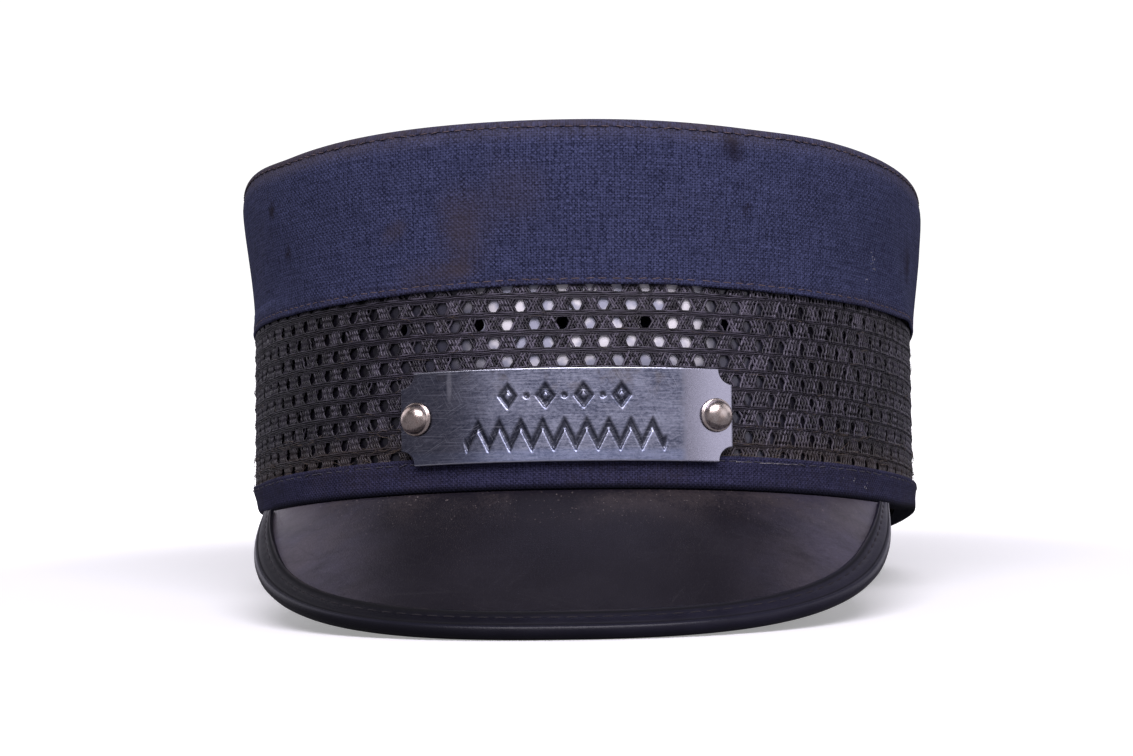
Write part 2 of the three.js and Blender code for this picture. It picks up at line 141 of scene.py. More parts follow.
ARC_STEPS = 7200
ANGLES = np.linspace(-math.pi, math.pi, ARC_STEPS + 1)


def arc_lengths(offset):
    """The length along the oval, pushed out by offset, from the front to each of ANGLES."""
    x, y, out_x, out_y = oval(ANGLES)
    x, y = x + out_x * offset, y + out_y * offset
    lengths = np.concatenate([[0], np.cumsum(np.hypot(np.diff(x), np.diff(y)))])
    return lengths - lengths[ARC_STEPS // 2]


CREST_ARC = arc_lengths(0)
GIRTH = CREST_ARC[-1] - CREST_ARC[0]


def angle_at(arc, lengths=CREST_ARC):
    whole = lengths[-1] - lengths[0]
    turned = (np.asarray(arc) - lengths[0]) % whole + lengths[0]
    return np.interp(turned, lengths, ANGLES)


RIM_RISE = 2.3 * MM
LEFT_RISE = 1.3 * MM  # how much more the rim rises at the -X side


def rim_rise(x, y, height):
    """How far the rim curves up at the sides of the head, fading out above the rim band."""
    past_front = smooth(y, -0.42 * HALF_DEPTH, -0.05 * HALF_DEPTH)
    beside = past_front * smooth(y, 0.75 * HALF_DEPTH, 0.1 * HALF_DEPTH)
    left = beside * smooth(-x, 0.3 * HALF_WIDTH, 0.9 * HALF_WIDTH) * smooth(height, 4 * RIM_TOP, 0)
    return RIM_RISE * beside * smooth(height, 1.6 * RIM_TOP, -0.4 * RIM_TOP) + LEFT_RISE * left


def on_band(arc, height, offset, lengths=CREST_ARC):
    """The world's point at a length round the band, a height above the rim and an offset outwards."""
    x, y, out_x, out_y = oval(angle_at(arc, lengths))
    arc, height, offset = np.broadcast_arrays(arc, height, offset)
    height = height + rim_rise(x, y, height)
    return world(np.stack([x + out_x * offset, y + out_y * offset, height + 0 * x], -1))


def band_directions(arc, lengths=CREST_ARC):
    """Straight out of the band at a length round it, and level along it, in the world."""
    _, _, out_x, out_y = oval(angle_at(np.array([arc]), lengths))
    out = np.array([out_x[0], out_y[0], 0.0]) @ CAP_AXES
    return out, np.cross(CAP_UP, out)


def unevenness(angle, height, seed, waves):
    """A smooth seeded unevenness that closes on itself round the head. waves holds pairs of how many
    times a wave goes round and its length up the cap; the sum stays within -1 and 1."""
    chance = np.random.default_rng(seed)
    total = 0
    for times_round, length in waves:
        turn, rise = chance.uniform(0, TURN, 2)
        total = total + np.cos(times_round * angle + turn) * np.cos(TURN * height / length + rise)
    return total / len(waves)


# Meshes

def signed_volume(points, faces):
    quads = np.array([(*f, f[-1]) if len(f) == 3 else f[:4] for f in faces])
    a, b, c, d = (points[quads[:, i]] for i in range(4))
    return (np.einsum("ij,ij->i", a, np.cross(b, c)) + np.einsum("ij,ij->i", a, np.cross(c, d))).sum()


def add_object(name, data):
    made = bpy.data.objects.new(name, data)
    bpy.context.scene.collection.objects.link(made)
    return made


def new_object(name, points, faces, corner_uv=None, marks=None, sharp=None):
    """A closed mesh object, facing out. corner_uv has one pair for each face corner, in metres, and
    marks holds named numbers for each point."""
    middle = points.mean(0)
    faces = [list(map(int, f)) for f in faces]
    if signed_volume(points - middle, faces) < 0:
        if corner_uv is not None:
            turned, start = [], 0
            for f in faces:
                turned.append(corner_uv[start:start + len(f)][::-1])
                start += len(f)
            corner_uv = np.concatenate(turned)
        faces = [f[::-1] for f in faces]
    mesh = bpy.data.meshes.new(name)
    mesh.from_pydata(points.tolist(), [], faces)
    if corner_uv is not None:
        layer = mesh.uv_layers.new(name="lengths")
        layer.data.foreach_set("uv", np.asarray(corner_uv, np.float32).ravel())
    for mark, values in (marks or {}).items():
        attribute = mesh.attributes.new(mark, "FLOAT", "POINT")
        attribute.data.foreach_set("value", np.asarray(values, np.float32).ravel())
    mesh.shade_smooth()
    if sharp is not None:
        mesh.set_sharp_from_angle(angle=math.radians(sharp))
    return add_object(name, mesh)


def dress(piece, material, slot, *nodes):
    """Gives a piece its finish, hangs it under the cap's root and hides the solids that it replaces."""
    piece.data.materials.clear()
    piece.data.materials.append(material)
    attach(piece, "root")
    if nodes:
        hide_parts(*nodes)
    return piece


def grid_faces(rows, columns, rows_close, columns_close, start=0):
    """Four-sided faces over a grid of points numbered row by row."""
    i = np.arange(rows if rows_close else rows - 1)
    j = np.arange(columns if columns_close else columns - 1)
    i, j = (a.ravel() for a in np.meshgrid(i, j, indexing="ij"))
    next_i, next_j = (i + 1) % rows, (j + 1) % columns
    faces = np.stack(
        [i * columns + j, i * columns + next_j, next_i * columns + next_j, next_i * columns + j], -1
    )
    return faces + start, (i, j)


def grid_uv(u, v, cells):
    """Corner lengths for grid_faces. u and v have a value more than the grid where it closes."""
    i, j = cells
    corners = [(i, j), (i, j + 1), (i + 1, j + 1), (i + 1, j)]
    return np.stack([np.stack([u[b], v[a]], -1) for a, b in corners], 1).reshape(-1, 2)


def corner_lengths(flat, faces):
    """The pair of lengths at each face corner, from a pair for each point."""
    return flat.reshape(-1, 2)[[corner for face in faces for corner in face]]


def tube_faces(rows, columns, rows_close=False):
    """Faces of one closed tube over a grid of points. It closes round its columns, or round its rows,
    and both its ends are filled."""
    faces, _ = grid_faces(rows, columns, rows_close, not rows_close)
    if rows_close:
        first = np.arange(rows) * columns
        last = first + columns - 1
    else:
        first = np.arange(columns)
        last = first + (rows - 1) * columns
    return faces.tolist() + [first[::-1].tolist(), last.tolist()]


def run_lengths(points):
    """The length along a line of points from its first to each."""
    return np.concatenate([[0], np.cumsum(np.linalg.norm(np.diff(points, axis=0), axis=1))])


def ring_piece(name, section, round_steps=ROUND_STEPS, marks=None, sharp=None):
    """A ring round the head. section(angle, arc) gives offsets and heights, one row for each point of
    the closed section, and v, the length that each row has in the finish's own map."""
    arc = np.arange(round_steps) / round_steps * GIRTH - GIRTH / 2
    angle = angle_at(arc)
    offsets, heights, v = section(angle, arc)
    points = on_band(arc[None, :] + 0 * offsets, heights, offsets)
    rows = len(offsets)
    faces, cells = grid_faces(rows, round_steps, True, True)
    u = np.append(arc, arc[0] + GIRTH)
    uv = grid_uv(u, np.append(v, v[0]), cells)
    made_marks = {k: f(angle, heights) for k, f in (marks or {}).items()}
    return new_object(name, points.reshape(-1, 3), faces, uv, made_marks, sharp)


def strand_faces(points):
    """Faces for many short closed strands. points has a row for each strand, step and section point."""
    strands, steps, sides = points.shape[:3]
    along, _ = grid_faces(steps, sides, False, True)
    base = np.arange(strands)[:, None] * (steps * sides)
    first = np.arange(sides)[::-1]
    last = (steps - 1) * sides + np.arange(sides)
    faces = (along + base[..., None]).reshape(-1, 4)
    return faces.tolist() + (first + base).tolist() + (last + base).tolist()


# Where the top of the crown lies: its underside is a plane that drops towards the back

def top_plane():
    corners = upright_points("crown_top") - RIM_CENTRE

    def lowest(axis, sign):
        edge = (corners[:, axis] * sign).max()
        return corners[corners[:, axis] * sign > edge - 0.5 * MM][:, 2].min()

    front, back = lowest(1, -1), lowest(1, 1)
    left, right = lowest(0, -1), lowest(0, 1)
    depth = corners[:, 1].max() - corners[:, 1].min()
    width = corners[:, 0].max() - corners[:, 0].min()
    return (front + back) / 2 + TOP_WALL, (back - front) / depth, (right - left) / width


TOP_MIDDLE, TOP_SLOPE_Y, TOP_SLOPE_X = top_plane()
CROWN_LIFT = 0.5 * MM  # cloth over the stiffening's top edge
LEFT_SHOULDER = 1.65 * MM  # how far the top's edge stands up at the -X side
RIGHT_SHOULDER = 0.6 * MM  # and at the +X side


def top_height(x, y):
    """Height of the top's outer face, without its dome."""
    left = LEFT_SHOULDER * smooth(-x, 0.80 * HALF_WIDTH, 0.99 * HALF_WIDTH)
    right = RIGHT_SHOULDER * smooth(x, 0.50 * HALF_WIDTH, 0.75 * HALF_WIDTH)
    return TOP_MIDDLE + CROWN_LIFT + TOP_SLOPE_Y * y + TOP_SLOPE_X * x + left + right


# Shading: small helpers, then the effects that several finishes share

class Shade:
    """Adds nodes to one node tree. A socket given as a value is linked, and anything else is set."""

    def __init__(self, tree):
        self.tree = tree

    def node(self, kind, settings=None, inputs=None):
        made = self.tree.nodes.new(kind)
        for name, value in (settings or {}).items():
            setattr(made, name, value)
        for name, value in (inputs or {}).items():
            self.feed(made.inputs[name], value)
        return made

    def feed(self, socket, value):
        if isinstance(value, bpy.types.NodeSocket):
            self.tree.links.new(value, socket)
        else:
            socket.default_value = value

    def math(self, operation, a, b=0.0, c=0.0, clamp=False):
        settings = {"operation": operation, "use_clamp": clamp}
        return self.node("ShaderNodeMath", settings, {0: a, 1: b, 2: c}).outputs[0]

    def times(self, a, b):
        return self.math("MULTIPLY", a, b)

    def distance(self, value, middle):
        """How far a value is from a middle, to either side."""
        return self.math("ABSOLUTE", self.math("SUBTRACT", value, middle))

    def vector(self, operation, a, b=(0, 0, 0)):
        made = self.node("ShaderNodeVectorMath", {"operation": operation}, {0: a, 1: b})
        return made.outputs["Value" if operation in ("LENGTH", "DOT_PRODUCT") else "Vector"]

    def mask(self, value, low, high):
        """0 below low and 1 above high, smoothly. With low above high it falls instead."""
        rising = low < high
        inputs = {"Value": value, "From Min": min(low, high), "From Max": max(low, high),
                  "To Min": 0.0 if rising else 1.0, "To Max": 1.0 if rising else 0.0}
        settings = {"interpolation_type": "SMOOTHSTEP"}
        return self.node("ShaderNodeMapRange", settings, inputs).outputs["Result"]

    def span(self, value, low, high):
        """A value from 0 to 1 spread between low and high."""
        inputs = {"Value": value, "To Min": low, "To Max": high}
        return self.node("ShaderNodeMapRange", None, inputs).outputs["Result"]

    def mix(self, share, a, b, blend="MIX"):
        made = self.node("ShaderNodeMix", {"data_type": "RGBA", "blend_type": blend})
        self.feed(made.inputs["Factor"], share)
        self.feed(made.inputs[6], a)
        self.feed(made.inputs[7], b)
        return made.outputs[2]

    def noise(self, vector, scale, detail=3.0, roughness=0.55):
        inputs = {"Vector": vector, "Scale": scale, "Detail": detail, "Roughness": roughness}
        return self.node("ShaderNodeTexNoise", None, inputs).outputs["Fac"]

    def stretched(self, vector, x, y):
        return self.vector("MULTIPLY", vector, (x, y, 1.0))

    def lengths(self):
        """The map in metres: x is the length along the piece and y the height or length across it."""
        return self.node("ShaderNodeUVMap", {"uv_map": "lengths"}).outputs["UV"]

    def place(self):
        return self.node("ShaderNodeTexCoord").outputs["Object"]

    def split(self, vector):
        made = self.node("ShaderNodeSeparateXYZ", None, {0: vector})
        return made.outputs["X"], made.outputs["Y"], made.outputs["Z"]

    def mark(self, name):
        return self.node("ShaderNodeAttribute", {"attribute_name": name}).outputs["Fac"]

    def bump(self, height, distance, strength):
        inputs = {"Height": height, "Distance": distance, "Strength": strength}
        return self.node("ShaderNodeBump", None, inputs).outputs["Normal"]

    def group(self, tree, **values):
        made = self.node("ShaderNodeGroup", {"node_tree": tree})
        for name, value in values.items():
            self.feed(made.inputs[name.replace("_", " ")], value)
        return made.outputs

    def spot(self, vector, along, up, half_along, half_up, softness=0.45):
        """1 inside an oval spot and 0 outside it."""
        moved = self.vector("SUBTRACT", vector, (along, up, 0))
        scaled = self.vector("MULTIPLY", moved, (1 / half_along, 1 / half_up, 0))
        return self.mask(self.vector("LENGTH", scaled), 1 + softness, 1 - softness)


def colour(red, green, blue):
    return (red, green, blue, 1.0)


def shared_effect(name, inputs, outputs, build):
    """A node group with named sockets. build(shade, inputs) returns a value for each output."""
    tree = bpy.data.node_groups.new(name, "ShaderNodeTree")
    for socket, kind, value in inputs:
        made = tree.interface.new_socket(socket, in_out="INPUT", socket_type=kind)
        if kind == "NodeSocketFloat":
            made.default_value = value
    for socket in outputs:
        tree.interface.new_socket(socket, in_out="OUTPUT", socket_type="NodeSocketFloat")
    shade = Shade(tree)
    given = shade.node("NodeGroupInput").outputs
    leaving = shade.node("NodeGroupOutput")
    for socket, value in zip(outputs, build(shade, given)):
        shade.feed(leaving.inputs[socket], value)
    return tree


VECTOR, NUMBER = "NodeSocketVector", "NodeSocketFloat"
THREAD_STRAY = 0.85  # how far threads stray from their even spacing
WEFT_CLOSER = 1.16  # how much closer together the threads lie up the cloth than along it


def build_thread_weave(shade, given):
    """Plain weave. Tone is each thread's own shade, and Gaps is 1 at the pinholes between threads."""
    slow = shade.noise(given["Vector"], 90.0, 2.0)
    quick = shade.noise(given["Vector"], 640.0, 2.0, 0.6)
    other = shade.noise(given["Vector"], 760.0, 2.0, 0.6)
    bend = shade.times(slow, given["Drift"])
    size = shade.math("DIVIDE", 1.0, given["Pitch"])
    scaled = shade.node("ShaderNodeVectorMath", {"operation": "SCALE"},
                        {0: given["Vector"], "Scale": size}).outputs["Vector"]
    across, up, _ = shade.split(shade.stretched(scaled, 1.0, WEFT_CLOSER))
    across = shade.math("ADD", across, shade.math("MULTIPLY_ADD", quick, THREAD_STRAY, bend))
    up = shade.math("ADD", up, shade.math("MULTIPLY_ADD", other, THREAD_STRAY, bend))
    wave_across = shade.math("SINE", shade.times(across, math.pi))
    wave_up = shade.math("SINE", shade.times(up, math.pi))
    over = shade.times(wave_across, wave_up)
    height = shade.math("MULTIPLY_ADD", over, 0.5, 0.5)
    far_across, far_up = shade.math("ABSOLUTE", wave_across), shade.math("ABSOLUTE", wave_up)
    pinholes = shade.mask(shade.math("MAXIMUM", far_across, far_up), 0.95, 0.30)
    seams = shade.mask(shade.math("MINIMUM", far_across, far_up), 0.40, 0.0)
    open_here = shade.mask(shade.noise(scaled, 0.5, 1.0), 0.36, 0.60)
    gaps = shade.times(pinholes, shade.span(open_here, 0.25, 1.0))
    gaps = shade.math("MULTIPLY_ADD", seams, 0.22, gaps, clamp=True)
    warp = shade.noise(shade.stretched(scaled, 1.0, 0.07), 1.0, 2.0, 0.7)
    weft = shade.noise(shade.stretched(scaled, 0.07, 1.0), 1.0, 2.0, 0.7)
    which = shade.mask(over, -0.3, 0.3)
    thread = shade.node("ShaderNodeMix", None, {"Factor": which, 2: warp, 3: weft}).outputs[0]
    fleck = shade.noise(scaled, 0.75, 3.0, 0.8)
    tone = shade.math("MULTIPLY_ADD", fleck, 0.45, shade.times(thread, 0.55))
    tone = shade.times(shade.mask(tone, 0.34, 0.66), 0.8)
    return height, shade.math("MULTIPLY_ADD", which, 0.2, tone), gaps


def build_dust(shade, given):
    """Patchy dust: broad clouds broken up by fine specks. Low and High set how much is covered."""
    clouds = shade.noise(given["Vector"], given["Scale"], 4.0, 0.6)
    specks = shade.noise(given["Vector"], shade.times(given["Scale"], 22.0), 2.0, 0.7)
    both = shade.math("MULTIPLY_ADD", specks, 0.35, shade.times(clouds, 0.65))
    inputs = {"Value": both, "From Min": given["Low"], "From Max": given["High"]}
    settings = {"interpolation_type": "SMOOTHSTEP"}
    patches = shade.node("ShaderNodeMapRange", settings, inputs).outputs["Result"]
    return (shade.times(patches, given["Amount"]),)


def build_leather_grain(shade, given):
    """Small pebbles with creases between them, and pores."""
    inputs = {"Vector": given["Vector"], "Scale": given["Scale"], "Randomness": 1.0}
    settings = {"feature": "DISTANCE_TO_EDGE"}
    edges = shade.node("ShaderNodeTexVoronoi", settings, inputs).outputs["Distance"]
    pebble = shade.mask(edges, 0.0, 0.28)
    fine = shade.noise(given["Vector"], shade.times(given["Scale"], 2.6), 3.0, 0.6)
    height = shade.math("MULTIPLY_ADD", fine, 0.4, shade.times(pebble, 0.6))
    return height, shade.math("SUBTRACT", 1.0, pebble)


def build_hairlines(shade, given):
    """Fine scratches, mostly along x, with a few at a slant."""
    total = None
    for turn, density in ((0.04, 60.0), (-0.5, 85.0), (1.1, 110.0)):
        turned = shade.node("ShaderNodeVectorRotate", {"rotation_type": "Z_AXIS"},
                            {"Vector": given["Vector"], "Angle": turn}).outputs["Vector"]
        thin = shade.stretched(turned, 0.03, 1.0)
        lines = shade.noise(thin, shade.times(given["Scale"], density), 2.0, 0.7)
        line = shade.mask(lines, 0.60, 0.68)
        total = line if total is None else shade.math("MAXIMUM", total, line)
    return (shade.times(total, given["Amount"]),)


thread_weave = shared_effect(
    "thread_weave",
    [("Vector", VECTOR, None), ("Pitch", NUMBER, 0.68 * MM), ("Drift", NUMBER, 0.5)],
    ["Height", "Tone", "Gaps"], build_thread_weave)
dust_cover = shared_effect(
    "dust_cover",
    [("Vector", VECTOR, None), ("Scale", NUMBER, 30.0), ("Low", NUMBER, 0.45),
     ("High", NUMBER, 0.65), ("Amount", NUMBER, 1.0)],
    ["Dust"], build_dust)
leather_grain = shared_effect(
    "leather_grain", [("Vector", VECTOR, None), ("Scale", NUMBER, 900.0)],
    ["Height", "Creases"], build_leather_grain)
hairline_scratches = shared_effect(
    "hairline_scratches",
    [("Vector", VECTOR, None), ("Scale", NUMBER, 30.0), ("Amount", NUMBER, 1.0)],
    ["Scratches"], build_hairlines)


def new_finish(name, roughness, specular, metallic=0.0):
    """A material whose uniform numbers are set on the shader itself, and the Shade that fills it."""
    material = bpy.data.materials.new(name)
    material.use_nodes = True
    shader = material.node_tree.nodes["Principled BSDF"]
    shader.inputs["Roughness"].default_value = roughness
    shader.inputs["Specular IOR Level"].default_value = specular
    shader.inputs["Metallic"].default_value = metallic
    return material, Shade(material.node_tree), shader


# Finishes

CLOTH_STAINS = [
    # along and up place the stain's middle and wide and tall are its half sizes, in mm; depth is its
    # strength
    {"along": -23.9, "up": 62.0, "wide": 5.0, "tall": 7.0, "depth": 0.55, "dark": False},
    {"along": -26.0, "up": 52.8, "wide": 3.6, "tall": 2.6, "depth": 0.6, "dark": False},
    {"along": -33.0, "up": 51.5, "wide": 6.5, "tall": 3.2, "depth": 0.35, "dark": False},
    {"along": -12.0, "up": 68.8, "wide": 7.0, "tall": 6.0, "depth": 0.25, "dark": False},
    {"along": -42.1, "up": 62.3, "wide": 2.4, "tall": 2.0, "depth": 0.4, "dark": False},
    {"along": 40.7, "up": 80.3, "wide": 2.6, "tall": 2.6, "depth": 0.8, "dark": True},
    {"along": 45.1, "up": 66.3, "wide": 1.1, "tall": 0.8, "depth": 0.7, "dark": True},
    {"along": -89.5, "up": 73.3, "wide": 1.6, "tall": 1.8, "depth": 0.8, "dark": True},
    {"along": -83.1, "up": 62.8, "wide": 1.2, "tall": 1.0, "depth": 0.8, "dark": True},
    {"along": 117.2, "up": 62.8, "wide": 3.0, "tall": 4.0, "depth": 0.6, "dark": True},
]


def weave_colour(shade, lengths, place, dark, light, pitch):
    """The cloth's own colour and its height, before dust and stains."""
    weave = shade.group(thread_weave, Vector=lengths, Pitch=pitch, Drift=0.5)
    base = shade.mix(weave["Tone"], dark, light)
    base = shade.mix(shade.times(weave["Gaps"], 0.85), base, colour(0.003, 0.003, 0.008))
    shade_patches = shade.span(shade.noise(place, 26.0, 3.0), 0.86, 1.14)
    return shade.mix(1.0, base, shade_patches, "MULTIPLY"), weave["Height"]


def crown_cloth():
    """Navy cloth of the crown, dusty at its top edge and stained in places."""
    material, shade, shader = new_finish("navy_crown_cloth", 0.95, 0.12)
    lengths, place = shade.lengths(), shade.place()
    base, height = weave_colour(
        shade, lengths, place, colour(0.0120, 0.0145, 0.0360), colour(0.0900, 0.1010, 0.2140), 0.66 * MM)
    warp_along = shade.noise(place, 95.0, 5.0, 0.75)
    warp_up = shade.noise(place, 120.0, 5.0, 0.75)
    shifted = shade.vector("ADD", lengths, shade.node(
        "ShaderNodeCombineXYZ", None,
        {"X": shade.span(warp_along, -5.0 * MM, 5.0 * MM), "Y": shade.span(warp_up, -5.0 * MM, 5.0 * MM)}
    ).outputs[0])
    for stain in CLOTH_STAINS:
        spot = shade.spot(shifted, stain["along"] * MM, stain["up"] * MM,
                          stain["wide"] * MM, stain["tall"] * MM, 0.9)
        tint = colour(0.010, 0.007, 0.012) if stain["dark"] else colour(0.064, 0.049, 0.056)
        base = shade.mix(shade.times(spot, stain["depth"]), base, tint)
    below_top = shade.mark("below_top")
    patches = shade.group(dust_cover, Vector=place, Scale=24.0, Low=0.40, High=0.66, Amount=1.0)
    edge_band = shade.mask(below_top, 7.0 * MM, 0.3 * MM)
    dust = shade.times(edge_band, shade.span(patches["Dust"], 0.25, 0.75))
    base = shade.mix(dust, base, colour(0.112, 0.094, 0.100))
    hem_dirt = shade.mask(shade.split(lengths)[1], HEM + 4.0 * MM, HEM)
    hem_dirt = shade.times(hem_dirt, shade.span(patches["Dust"], 0.1, 0.5))
    base = shade.mix(hem_dirt, base, colour(0.040, 0.028, 0.034))
    general = shade.group(dust_cover, Vector=place, Scale=14.0, Low=0.52, High=0.78, Amount=0.22)
    base = shade.mix(general["Dust"], base, colour(0.070, 0.060, 0.065))
    shade.feed(shader.inputs["Base Color"], base)
    shade.feed(shader.inputs["Normal"], shade.bump(height, 0.16 * MM, 0.9))
    return material


def band_cloth():
    """The rim band's cloth: the same weave in darker colours, greyer from handling, with painted shade
    along its lower edge.
    """
    material, shade, shader = new_finish("navy_band_cloth", 0.95, 0.12)
    lengths, place = shade.lengths(), shade.place()
    base, height = weave_colour(
        shade, lengths, place, colour(0.0120, 0.0125, 0.0290), colour(0.0600, 0.0590, 0.1280), 0.60 * MM)
    grime = shade.group(dust_cover, Vector=place, Scale=34.0, Low=0.42, High=0.70, Amount=0.45)
    base = shade.mix(grime["Dust"], base, colour(0.034, 0.026, 0.028))
    # painted shade: the band darkens to near black along its lower edge, over the visor
    band_painted_shade_low_edge = shade.mask(shade.split(lengths)[1], 2.0 * MM, 0.5 * MM)
    base = shade.mix(shade.times(band_painted_shade_low_edge, 0.85), base, colour(0.003, 0.003, 0.006))
    shade.feed(shader.inputs["Base Color"], base)
    shade.feed(shader.inputs["Normal"], shade.bump(height, 0.15 * MM, 0.9))
    return material


def straw_finish():
    """Black lacquered straw, worn brown where it rubs and browner in the lowest rows, with painted light
    in the middle of the front and painted shade round the sides and towards the left.
    """
    material, shade, shader = new_finish("black_straw", 0.42, 0.5)
    lengths, place = shade.lengths(), shade.place()
    tone = shade.mark("tone")
    fine = shade.noise(lengths, 1500.0, 2.0, 0.6)
    glint = shade.times(tone, shade.span(fine, 0.35, 1.0))
    base = shade.mix(glint, colour(0.0060, 0.0045, 0.0090), colour(0.165, 0.146, 0.196))
    along = shade.split(lengths)[0]
    # painted light and shade: brighter in the middle of the front, darker round the sides
    front = shade.mask(shade.distance(along, 10.0 * MM), 85.0 * MM, 30.0 * MM)
    base = shade.mix(1.0, base, shade.span(front, 0.66, 1.30), "MULTIPLY")
    # painted shade: darker towards the left
    straw_painted_shade_left = shade.mask(along, -35.0 * MM, -100.0 * MM)
    base = shade.mix(shade.times(straw_painted_shade_left, 0.5), base, colour(0.008, 0.007, 0.011))
    worn = shade.group(dust_cover, Vector=place, Scale=46.0, Low=0.50, High=0.70, Amount=0.4)
    base = shade.mix(worn["Dust"], base, colour(0.022, 0.016, 0.014))
    low_rows = shade.mask(shade.split(lengths)[1], 17.0 * MM, 9.0 * MM)
    rubbed = shade.times(low_rows, shade.span(shade.noise(place, 120.0), 0.2, 1.0))
    base = shade.mix(rubbed, base, colour(0.042, 0.030, 0.026))
    shade.feed(shader.inputs["Base Color"], base)
    shade.feed(shader.inputs["Roughness"], shade.span(fine, 0.30, 0.62))
    shade.feed(shader.inputs["Normal"], shade.bump(fine, 0.10 * MM, 0.6))
    return material


def fibre_finish():
    material, shade, shader = new_finish("frayed_straw", 0.7, 0.3)
    tone = shade.noise(shade.place(), 90.0)
    shade.feed(shader.inputs["Base Color"],
               shade.mix(tone, colour(0.030, 0.022, 0.018), colour(0.21, 0.16, 0.12)))
    return material


def liner_finish():
    """Thin glossy board, lacquered black, with a painted reflection at the front and painted shade to the
    sides.
    """
    material, shade, shader = new_finish("liner_board", 0.22, 0.5)
    lengths, place = shade.lengths(), shade.place()
    along, up, _ = shade.split(lengths)
    wander = shade.span(shade.noise(place, 75.0, 2.0), -7.0 * MM, 7.0 * MM)
    shifted = shade.math("ADD", along, wander)
    left = shade.mask(shifted, -27.0 * MM, -14.0 * MM)
    right = shade.mask(shifted, 36.0 * MM, 28.0 * MM)
    high = shade.mask(shade.math("ADD", up, wander), 24.0 * MM, 36.0 * MM)
    # painted reflection: the pale zone at the front stands in for the light the glossy board mirrors
    liner_painted_reflection = shade.times(shade.times(left, right), shade.span(high, 0.35, 1.0))
    cloudy = shade.mix(shade.mask(shade.noise(place, 170.0, 2.0), 0.40, 0.60),
                       colour(0.46, 0.47, 0.58), colour(1.0, 0.97, 1.0))
    lacquer = shade.mix(shade.noise(place, 60.0, 3.0), colour(0.022, 0.021, 0.031),
                        colour(0.060, 0.060, 0.086))
    # painted shade: the lacquer darkens further from the front
    liner_painted_side_shade = shade.mask(shade.distance(shifted, 8.0 * MM), 34.0 * MM, 60.0 * MM)
    lacquer = shade.mix(liner_painted_side_shade, lacquer, colour(0.008, 0.007, 0.011))
    shade.feed(shader.inputs["Base Color"], shade.mix(liner_painted_reflection, lacquer, cloudy))
    scratches = shade.group(hairline_scratches, Vector=lengths, Scale=20.0, Amount=0.5)
    shade.feed(shader.inputs["Roughness"], shade.span(scratches["Scratches"], 0.20, 0.5))
    return material


def visor_finish():
    """Dark dressed leather, rubbed brown at the joint, with a painted grey sheen towards its ends."""
    material, shade, shader = new_finish("visor_leather", 0.45, 0.5)
    lengths, place = shade.lengths(), shade.place()
    down = shade.split(lengths)[1]
    grain = shade.group(leather_grain, Vector=place, Scale=1500.0)
    clouds = shade.noise(place, 38.0, 4.0, 0.6)
    base = shade.mix(clouds, colour(0.0045, 0.0034, 0.0060), colour(0.0140, 0.0112, 0.0180))
    # painted sheen: a dusty grey-purple lightening towards both ends of the visor
    beside = shade.mask(shade.math("ABSOLUTE", shade.split(place)[0]), 34.0 * MM, 72.0 * MM)
    wiped = shade.noise(shade.stretched(place, 0.22, 1.0), 260.0, 4.0, 0.7)
    cloudy = shade.math("MULTIPLY_ADD", wiped, 0.5, shade.times(clouds, 0.5))
    visor_painted_sheen_share = shade.times(beside, shade.mask(cloudy, 0.24, 0.62))
    visor_painted_sheen_tone = shade.mix(shade.mask(shade.noise(place, 70.0, 3.0), 0.42, 0.62),
                     colour(0.064, 0.056, 0.084), colour(0.068, 0.057, 0.074))
    grit = shade.span(shade.noise(place, 1300.0, 2.0, 0.7), 0.45, 1.55)
    base = shade.mix(visor_painted_sheen_share, base, shade.mix(1.0, visor_painted_sheen_tone, grit, "MULTIPLY"))
    rub = shade.group(dust_cover, Vector=place, Scale=60.0, Low=0.42, High=0.66, Amount=1.0)
    near_joint = shade.mask(down, 17.0 * MM, 1.0 * MM)
    base = shade.mix(shade.times(shade.times(near_joint, rub["Dust"]), 0.55),
                     base, colour(0.070, 0.055, 0.055))
    specks = shade.mask(shade.noise(place, 1700.0, 1.0), 0.715, 0.755)
    speckled = shade.mask(down, 20.0 * MM, 2.0 * MM)
    base = shade.mix(shade.times(specks, shade.span(speckled, 0.05, 0.75)), base,
                     colour(0.26, 0.22, 0.21))
    shade.feed(shader.inputs["Base Color"], base)
    scratches = shade.group(hairline_scratches, Vector=lengths, Scale=14.0, Amount=0.6)
    rough = shade.span(clouds, 0.30, 0.52)
    shade.feed(shader.inputs["Roughness"],
               shade.math("ADD", rough, shade.times(scratches["Scratches"], 0.12)))
    shade.feed(shader.inputs["Normal"], shade.bump(grain["Height"], 0.05 * MM, 0.5))
    return material


